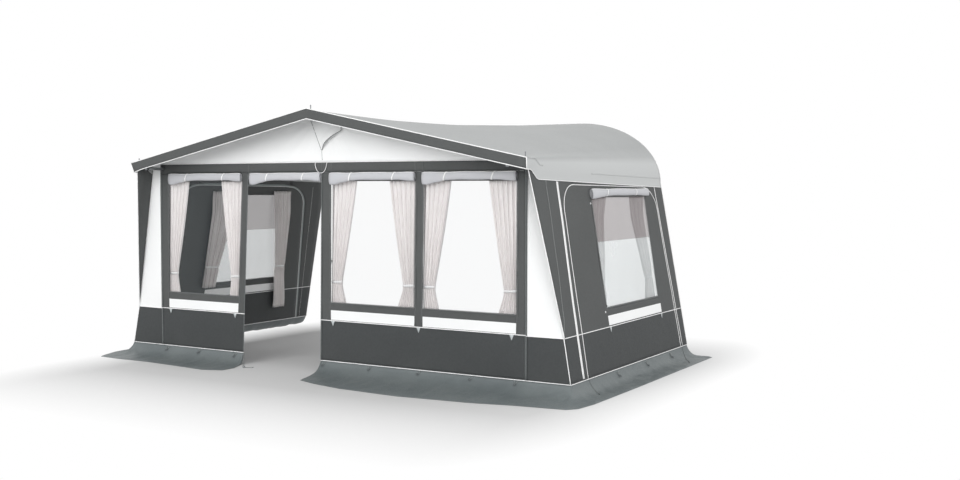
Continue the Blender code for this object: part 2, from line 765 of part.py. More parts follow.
def build_corner(side, sign):
    """The white wedge beside the front wall and the dark band under it, in one piece."""
    rows = []
    seam_top_out = SEAM_TOP_OUT[side]
    seam_top = seam_top_z(seam_top_out)
    for row in range(CORNER_ROWS + 1):
        down = row / CORNER_ROWS
        seam_out = blend(seam_top_out, CORNER_OUT, down)
        seam_z = blend(seam_top, BAND_TOP, down)
        zip_z = blend(HEADER_TOP, BAND_TOP, down)
        rows.append((seam_out, seam_z, zip_z))
    rows.append((FRONT_OUT, WALL_FOOT, WALL_FOOT))
    sheet = []
    for number, (seam_out, seam_z, zip_z) in enumerate(rows):
        seam_x = side_x(seam_out, seam_z) - SEAM_TUCK
        depth = FRONT_OUT - seam_out
        zip_x = ZIP_X + GAP + FABRIC / 2 * abs(depth) / math.hypot(depth, seam_x - ZIP_X)
        points = []
        for column in range(CORNER_COLUMNS + 1):
            across = column / CORNER_COLUMNS
            x = blend(zip_x, seam_x, across)
            out = blend(FRONT_OUT, seam_out, across)
            z = blend(zip_z, seam_z, across)
            if number == 0:
                z = roof_z(x, out) - ROOF_TUCK
            points.append(at(sign * x, out, z))
        sheet.append(points if sign > 0 else points[::-1])
    panel = loft("corner_panel_" + side, sheet, WHITE, offset=0.0)
    panel.data.materials.append(BAND_GREY)
    for face in list(panel.data.polygons)[-CORNER_COLUMNS:]:
        face.material_index = 1


def panel_outline(inset):
    """Outline of the round-topped side panel, from the front foot over the top to the rear."""
    front = PANEL_FRONT_FOOT - inset
    rear = PANEL_REAR_FOOT + inset
    points = [(front, WALL_FOOT), (PANEL_FRONT_SHOULDER - inset, PANEL_SHOULDER_Z)]
    steps = 6
    for step in range(1, steps):
        turn = math.pi / 2 * step / steps
        out = PANEL_FRONT_SHOULDER - inset - PANEL_ROUND * (1 - math.cos(turn))
        rise = (PANEL_TOP_Z - inset - PANEL_SHOULDER_Z) * math.sin(turn)
        points.append((out, PANEL_SHOULDER_Z + rise))
    points.append((PANEL_FRONT_SHOULDER - PANEL_ROUND, PANEL_TOP_Z - inset))
    rear_top = PANEL_TOP_Z - PANEL_TOP_FALL
    rear_round = PANEL_ROUND * 0.6
    points.append((PANEL_REAR_SHOULDER + rear_round, rear_top - inset))
    for step in range(1, steps):
        turn = math.pi / 2 * (1 - step / steps)
        out = PANEL_REAR_SHOULDER + inset + rear_round * (1 - math.cos(turn))
        rise = (rear_top - inset - PANEL_SHOULDER_Z) * math.sin(turn)
        points.append((out, PANEL_SHOULDER_Z + rise))
    points += [(PANEL_REAR_SHOULDER + inset, PANEL_SHOULDER_Z), (rear, WALL_FOOT)]
    return points


def side_pane_outline(inset):
    """The quadrilateral of a side window, drawn in by an inset."""
    return (
        (SIDE_PANE_FRONT_FOOT - inset, SIDE_PANE_FOOT + inset),
        (SIDE_PANE_FRONT_TOP - inset, SIDE_PANE_TOP - inset),
        (SIDE_PANE_REAR_TOP + inset, SIDE_PANE_TOP - inset),
        (SIDE_PANE_REAR_FOOT + inset, SIDE_PANE_FOOT + inset),
    )


def build_side(side, sign):
    """One side wall: the fixed part, the panel that zips out, its window and its blind."""
    plane = SidePlane(sign)
    flat = [plane.flat(out, z) for out, z in panel_outline(0.0)]
    rear = 2 * KEDER_R + GAP
    wall = [plane.flat(rear, WALL_FOOT), plane.flat(rear, flap_foot_z(rear) + WALL_LAP)]
    step_middle = blend(FRONT_OUT, FLAP_STEP_OUT, 0.5)
    for out in (FRONT_OUT / 2, FRONT_OUT, step_middle, FLAP_STEP_OUT, TIP_OUT[side]):
        wall.append(plane.flat(out, flap_foot_z(out) + WALL_LAP))
    wall += [plane.flat(CORNER_OUT, BAND_TOP), plane.flat(FRONT_OUT + FABRIC / 2, WALL_FOOT)]
    flat_panel("side_wall_" + side, [wall + flat], plane.matrix(), DARK_GREY)
    outlines = [
        [plane.flat(out, z) for out, z in panel_outline(GAP)],
        [plane.flat(out, z) for out, z in side_pane_outline(0.0)],
    ]
    panel = meshed(flat_panel("side_panel_" + side, outlines, plane.matrix(), DARK_GREY))
    face = FABRIC / 2 - BLIND_SINK
    roll = blind(
        "side_blind",
        lambda out, depth, z: plane.point(out, z, face + depth),
        SIDE_BLIND_FRONT,
        SIDE_BLIND_REAR,
        SIDE_BLIND_TOP,
        SIDE_BLIND_HEIGHT,
        PALE_GREY,
    )
    combine(panel, [roll], "UNION")
    pane = [plane.flat(out, z) for out, z in side_pane_outline(GAP)]
    flat_panel("side_window_" + side, [pane], plane.matrix(), CLEAR_FOIL, FOIL)


def curtain(name, place, edges, top, stand):
    """A curtain gathered at a tie: pleats that deepen downwards and open under the tie."""
    (top_start, top_end), (tie_start, tie_end), (hem_start, hem_end) = edges
    rows_shares = (0.0, 0.30, 0.62, 0.88, 1.0)
    fold_shares = (0.60, 1.0, 1.0, 0.75, 0.60)
    below_shares = (0.35, 1.0)
    count = CURTAIN_PLEATS * 4
    rows = []
    for down, fold in zip(rows_shares, fold_shares):
        pull = down ** 1.15
        edge = (blend(top_start, tie_start, pull), blend(top_end, tie_end, pull))
        rows.append((edge, blend(top, CURTAIN_TIE_Z, down), fold, smooth(down * 3)))
    for down in below_shares:
        edge = (blend(tie_start, hem_start, down), blend(tie_end, hem_end, down))
        rows.append((edge, blend(CURTAIN_TIE_Z, CURTAIN_HEM_Z, down), blend(0.6, 1.0, down), 1.0))
    sheet = []
    for (start, end), z, fold, off in rows:
        points = []
        for step in range(count + 1):
            across = step / count
            wave = CURTAIN_FOLD * fold * math.sin(2 * math.pi * CURTAIN_PLEATS * across)
            points.append(place(blend(start, end, across), wave + stand * off, z))
        sheet.append(points)
    return loft(name, sheet, CURTAIN_CLOTH, offset=0.0)


def build_curtains():
    """The curtains behind the front windows and behind the side windows."""
    top = CURTAIN_RAIL_Z - RAIL_R - GAP
    for name, edges in FRONT_CURTAINS.items():
        curtain(name, lambda x, depth, z: at(x, CURTAIN_OUT - depth, z), edges, top, 0.0)
    seat = FABRIC + GAP + CURTAIN_FOLD * 0.62
    for side, sign in (("left", -1), ("right", 1)):
        plane = SidePlane(sign)
        for end, edges in SIDE_CURTAINS.items():
            curtain(
                f"curtain_{side}_{end}",
                lambda out, depth, z, plane=plane: plane.point(out, z, -seat - depth),
                edges,
                SIDE_CURTAIN_TOP,
                SIDE_CURTAIN_STAND,
            )


def apron_rows(stations):
    """Rows of an apron: each station is the wall's foot and the outer edge on the ground."""
    rows = []
    for reach, height in APRON_SECTION_SHARES:
        row = []
        for (x, out), (far_x, far_out) in stations:
            z = FABRIC + (WALL_FOOT - GAP - FABRIC) * height
            row.append(at(blend(x, far_x, reach), blend(out, far_out, reach), z))
        rows.append(row)
    return rows


def build_apron(side, sign, door_x, shares):
    """The apron from the door round the corner to the rear, lying out on the ground."""
    corner_x = side_x(FRONT_OUT, WALL_FOOT)
    run = corner_x - door_x
    stations = []
    for place, sideways, outward in shares:
        x = door_x + run * place
        far = (x + APRON_REACH * sideways, FRONT_OUT + APRON_REACH * outward)
        stations.append(((x, FRONT_OUT), far))
    for before, sideways, outward in CORNER_APRON_SHARES[side]:
        x = corner_x - run * max(before, 0.0)
        out = FRONT_OUT + run * min(before, 0.0)
        far = (corner_x + APRON_SIDE_REACH * sideways, out + APRON_REACH * outward)
        stations.append(((x, out), far))
    last = stations[-1][0][1]
    for step in range(1, APRON_SIDE_STEPS + 1):
        out = blend(last, APRON_END, step / APRON_SIDE_STEPS)
        x = side_x(out, WALL_FOOT)
        stations.append(((x, out), (x + APRON_SIDE_REACH, out)))
    turned_over = [((sign * x, out), (sign * far_x, far_out)) for (x, out), (far_x, far_out) in stations]
    loft("apron_" + side, apron_rows(turned_over if sign > 0 else turned_over[::-1]), APRON_GREY)


def build_keder():
    """The welted edge that slides into the rear rail."""
    out = KEDER_R
    right = [(x, z) for x, z in half_profile(0.0)]
    foot = (side_x(0.0, WALL_FOOT), WALL_FOOT)
    right.append(foot)
    left = [(-x, z) for x, z in reversed(right[1:])]
    points = [at(x, out, z - FABRIC / 2) for x, z in left + right]
    tube_along("keder_strip", points, KEDER_R, WHITE, resolution=1)


def collared(name, start, end, finish):
    """An outer tube, open at both ends, with the clamp collar round its far end."""
    length = (end - start).length
    grip = bore_for(INNER_R)
    profile = (
        (TUBE_R, 0.0),
        (TUBE_R, length - COLLAR_LENGTH + COLLAR_GRIP),
        (COLLAR_R, length - COLLAR_LENGTH + COLLAR_GRIP),
        (COLLAR_R, length + COLLAR_GRIP),
        (grip, length + COLLAR_GRIP),
        (grip, length),
        (BORE_R, length),
        (BORE_R, 0.0),
    )
    return turned(name, profile[::-1], along(start, end), finish)


def inner_tube(name, start, end, finish):
    """An inner tube, open at both ends."""
    length = (end - start).length
    profile = ((INNER_R, length), (INNER_R, 0.0), (INNER_BORE_R, 0.0), (INNER_BORE_R, length))
    return turned(name, profile, along(start, end), finish)


def padded_tube(name, start, end, finish, pad_r, pad_thick, socket):
    """An inner tube open at its start, with a round pad across its end."""
    length = (end - start).length
    shoulder = blend(INNER_R, pad_r, 0.25)
    profile = (
        (INNER_BORE_R, 0.0),
        (INNER_R, 0.0),
        (INNER_R, length - socket),
        (shoulder, length - socket),
        (shoulder, length - pad_thick * 1.5),
        (pad_r, length - pad_thick),
        (pad_r, length),
        (0.0, length),
        (0.0, length - pad_thick),
        (INNER_BORE_R, length - pad_thick),
    )
    return turned(name, profile[::-1], along(start, end), finish)


def boss(end, direction, facing):
    """The screw boss on the side of a clamp collar, where the collar ends."""
    middle = end + direction * (COLLAR_GRIP - COLLAR_LENGTH / 2)
    return rod(
        "boss",
        middle + facing * (INNER_R + COLLAR_R) * 0.5,
        middle + facing * (COLLAR_R + BOSS_REACH),
        BOSS_R,
        BLACK_PLASTIC,
    )


def wing_knob(name, end, direction, facing):
    """The wing screw that tightens a clamp collar, with its origin on the screw's axis."""
    middle = end + direction * (COLLAR_GRIP - COLLAR_LENGTH / 2)
    seat = middle + facing * (COLLAR_R + BOSS_REACH + GAP)
    knob = rod(name, seat, seat + facing * KNOB_THICK, KNOB_R, BLACK_PLASTIC)
    turn = along(seat, seat + facing)
    lift = Matrix.Translation((0.0, 0.0, KNOB_THICK - WING_HEIGHT / 4 + WING_HEIGHT / 2))
    wings = block("wings", (WING_SPAN, WING_WIDTH, WING_HEIGHT), turn @ lift, BLACK_PLASTIC)
    bevel = wings.modifiers.new("rounded", "BEVEL")
    bevel.width = WING_WIDTH / 3
    bevel.segments = 1
    return combine(knob, [wings], "UNION")


def head(place):
    """The ring on top of a post that a roof pole passes through."""
    half = HEAD_WIDTH / 2
    bore = bore_for(TUBE_R)
    profile = ((HEAD_R, half), (HEAD_R, -half), (bore, -half), (bore, half))
    return turned("head", profile, along(place, place + Vector((0.0, 1.0, 0.0))), STEEL)


def build_post(name, x, pole_z):
    """A telescopic post with its foot, from the ground to the roof pole that it holds up."""
    joint = at(x, POST_OUT, POST_JOINT_Z)
    top = at(x, POST_OUT, pole_z - HEAD_R + HEAD_BITE)
    down = Vector((0.0, 0.0, -1.0))
    inward = Vector((0.0, 1.0, 0.0))
    upper = collared(name + "_upper", top, joint, STEEL)
    combine(upper, [head(at(x, POST_OUT, pole_z)), boss(joint, down, inward)], "UNION")
    start = at(x, POST_OUT, POST_JOINT_Z + LAP)
    padded_tube(name + "_lower", start, at(x, POST_OUT, 0.0), STEEL, FOOT_R, FOOT_THICK, FOOT_SOCKET)
    wing_knob(name + "_knob", joint, down, inward)


def build_pole(name, x, z):
    """A telescopic roof pole from the canopy's front to its pad at the rear."""
    start = at(x, FRAME_OUT - BLOCK / 2 - GAP, z)
    joint = at(x, POLE_JOINT_OUT, z)
    rearward = Vector((0.0, 1.0, 0.0))
    down = Vector((0.0, 0.0, -1.0))
    outer = collared(name + "_outer", start, joint, STEEL)
    combine(outer, [boss(joint, rearward, down)], "UNION")
    inner_start = at(x, POLE_JOINT_OUT + LAP, z)
    padded_tube(name + "_inner", inner_start, at(x, 0.0, z), STEEL, PAD_R, PAD_THICK, FOOT_SOCKET)
    wing_knob(name + "_knob", joint, rearward, down)


def rafter_point(x, sign):
    """A point of a rafter's axis in the canopy's front plane."""
    slope = (RIDGE_Z - CANOPY_Z) / CANOPY_X
    steep = math.hypot(1.0, slope)
    drop = (FABRIC + COLLAR_R) * steep + RAFTER_CLEAR
    return at(sign * x, FRAME_OUT, RIDGE_Z - slope * x - drop)


def build_rafter(side, sign):
    """A telescopic rafter between the peak connector and a corner connector."""
    start = rafter_point(RAFTER_START, sign)
    joint = rafter_point(RAFTER_JOINT, sign)
    direction = (joint - start).normalized()
    rearward = Vector((0.0, 1.0, 0.0))
    name = "rafter_" + side
    outer = collared(name + "_outer", start, joint, STEEL)
    combine(outer, [boss(joint, direction, rearward)], "UNION")
    inner_start = joint - direction * LAP
    inner_end = rafter_point(POST_X - BLOCK / 2, sign) - direction * RAFTER_SETBACK
    inner_tube(name + "_inner", inner_start, inner_end, STEEL)
    wing_knob(name + "_knob", joint, direction, rearward)


def pin(x, foot_z):
    """The pin that comes up through the roof's eyelet."""
    return rod("pin", at(x, PIN_OUT, foot_z), at(x, PIN_OUT, roof_z(x, PIN_OUT) + PIN_RISE), PIN_R, CAST)


def build_peak_connector():
    """The casting at the peak: plugs for two rafters and the ridge pole, and the pin."""
    centre = rafter_point(0.0, 1)
    low = RIDGE_POLE_Z - BLOCK / 2
    high = centre.z + BLOCK / 2
    middle = at(0.0, FRAME_OUT, (low + high) / 2)
    body = block("peak_connector", (BLOCK, BLOCK, high - low), Matrix.Translation(middle), CAST)
    parts = []
    for sign in (-1, 1):
        inside = rafter_point(0.0, sign)
        tip = rafter_point(RAFTER_START + PLUG_LENGTH, sign)
        parts.append(rod("rafter_plug", inside, tip, PLUG_R, CAST))
    back = at(0.0, FRAME_OUT - BLOCK / 2 - PLUG_LENGTH, RIDGE_POLE_Z)
    parts.append(rod("pole_plug", at(0.0, FRAME_OUT, RIDGE_POLE_Z), back, PLUG_R, CAST))
    arm_z = centre.z
    arm = at(0.0, (FRAME_OUT + PIN_OUT) / 2, arm_z)
    size = (2 * PIN_R, FRAME_OUT - PIN_OUT + 2 * PIN_R, 2 * PIN_R)
    parts.append(block("arm", size, Matrix.Translation(arm), CAST))
    parts.append(pin(0.0, arm_z))
    combine(body, parts, "UNION")


def build_corner_connector(side, sign):
    """The casting at a canopy corner: plugs for the rafter and the eave pole, and the pin."""
    centre = rafter_point(POST_X, sign)
    low = EAVE_POLE_Z - BLOCK / 2
    high = centre.z + BLOCK / 3
    middle = at(sign * POST_X, FRAME_OUT, (low + high) / 2)
    body = block("corner_connector_" + side, (BLOCK, BLOCK, high - low), Matrix.Translation(middle), CAST)
    tip = rafter_point(POST_X - BLOCK / 2 - PLUG_LENGTH, sign)
    back = at(sign * POST_X, FRAME_OUT - BLOCK / 2 - PLUG_LENGTH, EAVE_POLE_Z)
    reach = rafter_point(PIN_X, sign)
    parts = [
        rod("rafter_plug", centre, tip, INNER_PLUG_R, CAST),
        rod("pole_plug", at(sign * POST_X, FRAME_OUT, EAVE_POLE_Z), back, PLUG_R, CAST),
        rod("arm", centre, reach, 2 * PIN_R, CAST),
    ]
    foot = at(sign * PIN_X, (FRAME_OUT + PIN_OUT) / 2, reach.z)
    size = (4 * PIN_R, FRAME_OUT - PIN_OUT + 2 * PIN_R, 2 * PIN_R)
    parts.append(block("lug", size, Matrix.Translation(foot), CAST))
    parts.append(pin(sign * PIN_X, reach.z))
    combine(body, parts, "UNION")


def build_curtain_rail():
    """The rail behind the header that the front curtains hang on, clipped to the posts."""
    end = POST_X + RAIL_END
    z = CURTAIN_RAIL_Z
    rail = rod("curtain_rail", at(-end, CURTAIN_OUT, z), at(end, CURTAIN_OUT, z), RAIL_R, STEEL)
    near = POST_OUT + TUBE_R + GAP
    for x in (-POST_X, 0.0, POST_X):
        middle = at(x, (near + CURTAIN_OUT) / 2, z)
        clip = block("clip", (CLIP_WIDTH, CURTAIN_OUT - near, CLIP_WIDTH), Matrix.Translation(middle), STEEL)
        combine(rail, [clip], "UNION")


clear_scene()
AWNING = collection("caravan_awning")
HELPERS = collection("helpers", helper=True)
ROOF_GREY = material("roof_grey", (0.50, 0.50, 0.50), 0.7)
DARK_GREY = material("dark_grey_fabric", (0.105, 0.112, 0.112), 0.85)
BAND_GREY = material("band_grey_fabric", (0.068, 0.075, 0.078), 0.8)
APRON_GREY = material("apron_grey", (0.150, 0.172, 0.178), 0.6)
WHITE = material("white_fabric", (0.87, 0.88, 0.88), 0.7)
PALE_GREY = material("pale_grey_fabric", (0.62, 0.62, 0.66), 0.7)
CLEAR_FOIL = material("clear_foil", (0.70, 0.75, 0.78), 0.1, alpha=0.3)
CURTAIN_CLOTH = material("curtain_cloth", (0.72, 0.68, 0.67), 0.9)
STEEL = material("galvanised_steel", (0.55, 0.56, 0.57), 0.4, metallic=1.0)
CAST = material("cast_connector", (0.35, 0.36, 0.37), 0.5, metallic=1.0)
BLACK_PLASTIC = material("black_plastic", (0.02, 0.02, 0.02), 0.5)

build_roof()
build_valance()
build_gable()
build_header()
build_vent_flap()
build_front()
for wall_side, wall_sign in (("left", -1), ("right", 1)):
    build_corner(wall_side, wall_sign)
    build_side(wall_side, wall_sign)
    build_rafter(wall_side, wall_sign)
    build_corner_connector(wall_side, wall_sign)
    build_pole("eave_pole_" + wall_side, wall_sign * POST_X, EAVE_POLE_Z)
    build_post("corner_post_" + wall_side, wall_sign * POST_X, EAVE_POLE_Z)
build_curtains()
build_apron("left", -1, -DOOR_LEFT_FOOT, LEFT_APRON_SHARES)
build_apron("right", 1, DOOR_RIGHT_FOOT, RIGHT_APRON_SHARES)
build_keder()
build_peak_connector()
build_pole("ridge_pole", 0.0, RIDGE_POLE_Z)
build_post("centre_post", 0.0, RIDGE_POLE_Z)
build_curtain_rail()
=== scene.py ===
"""Dresses the caravan awning: cloth, foil, piping, zips, blinds, curtains, frame, floor and camera.

Metres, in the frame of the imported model: +X along the front, +Z up, and "out" is the distance
from the rear rail, which grows towards -Y.
"""

import bisect
import enum
import logging
import math
from dataclasses import dataclass
from typing import Callable, Optional, Sequence, TypeVar

import bmesh
import bpy
from mathutils import Matrix, Vector, noise


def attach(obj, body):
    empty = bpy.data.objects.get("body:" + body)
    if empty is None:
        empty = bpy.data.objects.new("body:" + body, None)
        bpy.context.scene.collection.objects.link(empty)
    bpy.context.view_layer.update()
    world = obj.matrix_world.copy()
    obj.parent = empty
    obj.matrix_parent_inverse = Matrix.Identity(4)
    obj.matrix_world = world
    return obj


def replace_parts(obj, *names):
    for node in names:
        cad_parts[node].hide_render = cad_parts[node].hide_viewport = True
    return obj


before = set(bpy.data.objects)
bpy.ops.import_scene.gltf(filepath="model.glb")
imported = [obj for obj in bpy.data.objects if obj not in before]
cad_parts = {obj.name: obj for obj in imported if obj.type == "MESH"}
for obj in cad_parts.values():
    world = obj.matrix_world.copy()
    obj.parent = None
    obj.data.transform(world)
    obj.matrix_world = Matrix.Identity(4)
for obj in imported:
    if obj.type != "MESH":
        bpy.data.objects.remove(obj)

LOG = logging.getLogger("awning")
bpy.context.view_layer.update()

Place = Callable[[float, float], Vector]
Pair = tuple[float, float]
Triple = tuple[float, float, float]
Socket = bpy.types.NodeSocket
Piece = bpy.types.Object
AHEAD = Vector((0, -1, 0))
UP = Vector((0, 0, 1))

Value = TypeVar("Value", float, Vector)

CLOTH = 0.0012
FOIL = 0.0006
TAPE = 0.0008
WELT = 0.0042
SEAM = 0.014
SEWN = 0.0016
FLUSH = 0.0002
HALF_GAP = 0.0006
UNDER_ROOF = 0.004
BODY = "awning"
WALL_LOOKS = ("wall cloth", "band cloth", "white cloth")
SKINS: dict[str, bpy.types.Material] = {}
SLOTS: dict[str, str] = {}


class Side(enum.Enum):
    """The two sides of the awning as seen from the front."""

    LEFT = -1
    RIGHT = 1

    @property
    def word(self) -> str:
        """The side's name in the names of its pieces."""
        return self.name.lower()


class Hold(enum.Enum):
    STRETCHED = "stretched"
    HUNG = "hung"
    GATHERED = "gathered"
    LAID = "laid"
    FOLDED = "folded"


def mix(first: Value, second: Value, share: float) -> Value:
    """The value or vector that lies this share of the way from the first to the second."""
    return first + (second - first) * share


def smooth(share: float) -> float:
    """A share from 0 to 1 eased at both ends, and held outside them."""
    held = min(max(share, 0.0), 1.0)
    return held * held * (3 - 2 * held)


def between(marks: Sequence[float], value: float) -> tuple[int, float]:
    """The step of some rising marks that a value lies in, and its share of that step."""
    place = min(max(bisect.bisect_right(marks, value + 1e-9) - 1, 0), len(marks) - 2)
    return place, (value - marks[place]) / (marks[place + 1] - marks[place])


def search(low: float, high: float, short: Callable[[float], bool]) -> float:
    """The value between two others at which a test stops being true."""
    for _ in range(24):
        middle = (low + high) / 2
        low, high = (middle, high) if short(middle) else (low, middle)
    return low


def srgb(code: str) -> Triple:
    """The linear colour of a hex code such as 5d5f5f."""
    values = [int(code[place : place + 2], 16) / 255 for place in (0, 2, 4)]
    return tuple(value / 12.92 if value <= 0.04045 else ((value + 0.055) / 1.055) ** 2.4 for value in values)


def ripple(point: Vector, size: float, depth: float, seed: float = 0.0) -> float:
    """A smooth random height at a point: humps of this size and depth, others for another seed."""
    return depth * noise.noise(point / size + Vector((seed, seed * 0.37, -seed * 0.61)))


@dataclass(frozen=True)
class Plan:
    """The awning's main sizes and surfaces, the same as the solids have."""

    wall_y: float = 1.725
    front: float = 2.80
    canopy: float = 3.068
    zip_x: float = 2.136
    foot: float = 0.11
    band: float = 0.497
    header_foot: float = 1.884
    header_top: float = 1.98
    ridge_z: float = 2.460
    canopy_x: float = 2.280
    canopy_z: float = 1.985
    rail_z: float = 2.440
    rail_flat: float = 1.300
    rail_round_z: float = 1.800
    eave_angle: float = math.radians(25)
    sag: float = 0.028
    flap_canopy_z: float = 1.892
    flap_front_z: float = 1.811
    flap_rear_z: float = 1.748
    flap_stand: float = 0.0033
    flap_canopy_stand: float = 0.044
    flap_step: float = 2.944
    tips: Pair = (3.035, 2.960)
    seams: Pair = (2.825, 2.700)
    corner_out: float = 2.789
    half_width: float = 2.5567
    lean: float = 0.1837
    splay: float = 0.0086
    slant: float = 0.040

    def at(self, x: float, out: float, z: float) -> Vector:
        """A point from its place along the front, its distance from the rear rail and its height."""
        return Vector((x, self.wall_y - out, z))

    def side_x(self, out: float, z: float) -> float:
        """Half width of the awning at the middle of a side wall's cloth."""
        return self.half_width - self.lean * z + self.splay * out

    def facing(self, side: Optional[Side]) -> Vector:
        """The direction out of a side wall, or out of the front where there is no side."""
        return Vector((side.value, self.splay, self.lean)).normalized() if side else AHEAD

    def on_wall(self, side: Optional[Side], along: float, z: float, stand: float = 0.0) -> Vector:
        """A point standing off a wall.

        Args:
            side: The side wall, or none for the front.
            along: Its distance out, or its x on the front.
            z: Its height.
            stand: How far it stands off.

        Returns:
            The point.
        """
        if side is None:
            return self.at(along, self.front + stand, z)
        return self.at(side.value * self.side_x(along, z), along, z) + self.facing(side) * stand

    def tip(self, side: Side) -> float:
        """Distance out of a side wall's front corner under the canopy."""
        return self.tips[side is Side.RIGHT]

    def flap_foot(self, out: float) -> float:
        """Height of the roof flap's lower edge."""
        if out <= self.front:
            return mix(self.flap_rear_z, self.flap_front_z, out / self.front)
        return mix(self.flap_front_z, self.flap_canopy_z, smooth((out - self.front) / (self.flap_step - self.front)))

    def rail_round(self, angle: float) -> Pair:
        """A point of the rail's rounded corner, as half width and height."""
        reach = self.side_x(0.0, self.rail_round_z) + self.flap_stand - self.rail_flat
        rise = self.rail_z - self.rail_round_z
        return self.rail_flat + reach * math.cos(angle), self.rail_round_z + rise * math.sin(angle)

    def roof_half(self, along: float, out: float) -> Pair:
        """A point of the roof's right half.

        Args:
            along: 0 at the ridge, 1 at the eave and 2 at the flap's lower edge.
            out: Distance from the rear rail.

        Returns:
            The half width and the height there.
        """
        share = 1 - out / self.canopy
        eave_x, eave_z = self.rail_round(self.eave_angle)
        if along <= 1:
            x, z = self.rail_flat * along * 2, self.rail_z
            if along >= 0.5:
                x, z = self.rail_round(mix(math.pi / 2, self.eave_angle, along * 2 - 1))
            front_x = x * self.canopy_x / eave_x
            sag = self.sag * 4 * share * (1 - share) * (1 - x / eave_x)
            return mix(front_x, x, share), mix(self.verge_z(front_x), z, share) - sag
        down = along - 1
        foot_z = self.flap_foot(out)
        stand = mix(self.flap_stand, self.flap_canopy_stand, self.past_wall(out))
        rear_x, rear_z = self.side_x(0.0, self.flap_rear_z) + self.flap_stand, self.flap_rear_z
        if down < 2 / 3:
            round_x, round_z = self.rail_round(self.eave_angle * (1 - down * 1.5))
        else:
            straight_x, straight_z = self.rail_round(0.0)
            round_x, round_z = mix(straight_x, rear_x, down * 3 - 2), mix(straight_z, rear_z, down * 3 - 2)
        bulge_x, bulge_z = round_x - mix(eave_x, rear_x, down), round_z - mix(eave_z, rear_z, down)
        start_x, start_z = self.roof_half(1.0, out)
        x = mix(start_x, self.side_x(out, foot_z) + stand, down) + bulge_x * share
        return x, mix(start_z, foot_z, down) + bulge_z * share

    def past_wall(self, out: float) -> float:
        """The square of how far a place lies from the front wall to the canopy's edge, as a share."""
        past = max(out - self.front, 0.0) / (self.canopy - self.front)
        return past * past

    def roof(self, along: float, out: float) -> Vector:
        """A point of the roof's outer face, with along from -2 on the left to 2 on the right."""
        x, z = self.roof_half(abs(along), out)
        slanted = self.slant * max(-along - 1, 0.0) * self.past_wall(out)
        return self.at(math.copysign(x - slanted, along), out, z)

    def roof_z(self, x: float, out: float) -> float:
        """Height of the roof's outer face above a place between the eaves."""
        along = search(0.0, 1.0, lambda value: self.roof_half(value, out)[0] < abs(x))
        return self.roof_half(along, out)[1]

    def verge_z(self, x: float) -> float:
        """Height of the canopy's straight front edge."""
        return mix(self.ridge_z, self.canopy_z, abs(x) / self.canopy_x)


PLAN = Plan()


class Graph:
    """A short way to write nodes."""

    def __init__(self, tree: bpy.types.NodeTree) -> None:
        """Works on this tree of nodes."""
        self.tree = tree
        self.object = self.add("TexCoord").outputs["Object"]

    def feed(self, node: bpy.types.Node, values: dict) -> bpy.types.Node:
        """Fills a node's inputs.

        Args:
            node: The node.
            values: A socket to link or a plain value for each input, by its name or number.

        Returns:
            The same node.
        """
        for key, value in values.items():
            socket = node.inputs[key]
            if isinstance(value, Socket):
                self.tree.links.new(value, socket)
            else:
                socket.default_value = (*value, 1.0) if socket.type == "RGBA" else value
        return node

    def add(self, kind: str, values: Sequence | dict = (), **settings) -> bpy.types.Node:
        """Adds a node with its settings and its inputs, by name or in order."""
        node = self.tree.nodes.new("ShaderNode" + kind)
        for key, value in settings.items():
            setattr(node, key, value)
        return self.feed(node, values if isinstance(values, dict) else dict(enumerate(values)))

    def math(self, operation: str, *values: Socket | float) -> Socket:
        """The result of a Math node."""
        return self.add("Math", values, operation=operation).outputs[0]

    def blend(self, share: Socket, first: Socket | Triple, second: Socket | Triple) -> Socket:
        """A colour between two others."""
        return self.add("Mix", {0: share, 6: first, 7: second}, data_type="RGBA").outputs[2]

    def noise(self, scale: float, detail: float = 3.0, rough: float = 0.5, vector: Optional[Socket] = None) -> Socket:
        """A noise texture's value from 0 to 1."""
        inputs = {"Vector": vector or self.object, "Scale": scale, "Detail": detail, "Roughness": rough}
        return self.add("TexNoise", inputs).outputs["Fac"]

    def span(self, *values: Socket | float) -> Socket:
        """A value carried from one range to another and held there."""
        return self.add("MapRange", values).outputs[0]

    def spread(self, value: Socket, low: float, high: float) -> Socket:
        """A noise's value carried from its usual range to another one."""
        return self.span(value, 0.3, 0.7, low, high)

    def off(self, value: Socket, middle: float) -> Socket:
        """How far a value lies from another one."""
        return self.math("ABSOLUTE", self.math("SUBTRACT", value, middle))

    def stretched(self, *scale: float) -> Socket:
        """Object coordinates stretched along each axis."""
        return self.add("Mapping", {"Vector": self.object, "Scale": scale}).outputs[0]

    def parts(self, vector: Socket) -> list[Socket]:
        """The three numbers of a vector."""
        return list(self.add("SeparateXYZ", (vector,)).outputs)

    def cloth_axes(self) -> list[Socket]:
        """The cloth's own two directions in metres."""
        return self.parts(self.add("UVMap").outputs[0])[:2]

    def weave(self, thread: float) -> Socket:
        """A plain weave of threads this wide."""
        turns = [self.math("MULTIPLY", axis, 2 * math.pi / thread) for axis in self.cloth_axes()]
        return self.math("MULTIPLY", *(self.math("SINE", turn) for turn in turns))

    def seen(self) -> Socket:
        """1 for the rays that show the background: from the camera, off gloss and through foil."""
        rays = self.add("LightPath").outputs
        first = self.math("MAXIMUM", rays["Is Camera Ray"], rays["Is Glossy Ray"])
        return self.math("MAXIMUM", first, rays["Is Transmission Ray"])

    def either(self, *values: Socket) -> Socket:
        """A shader between two others, after its share."""
        return self.add("MixShader", values).outputs[0]

    def bump(self, height: Socket, strength: float, distance: float, **under: Socket) -> Socket:
        """A bump, over another one where that is its Normal."""
        return self.add("Bump", {"Strength": strength, "Distance": distance, "Height": height, **under}).outputs[0]


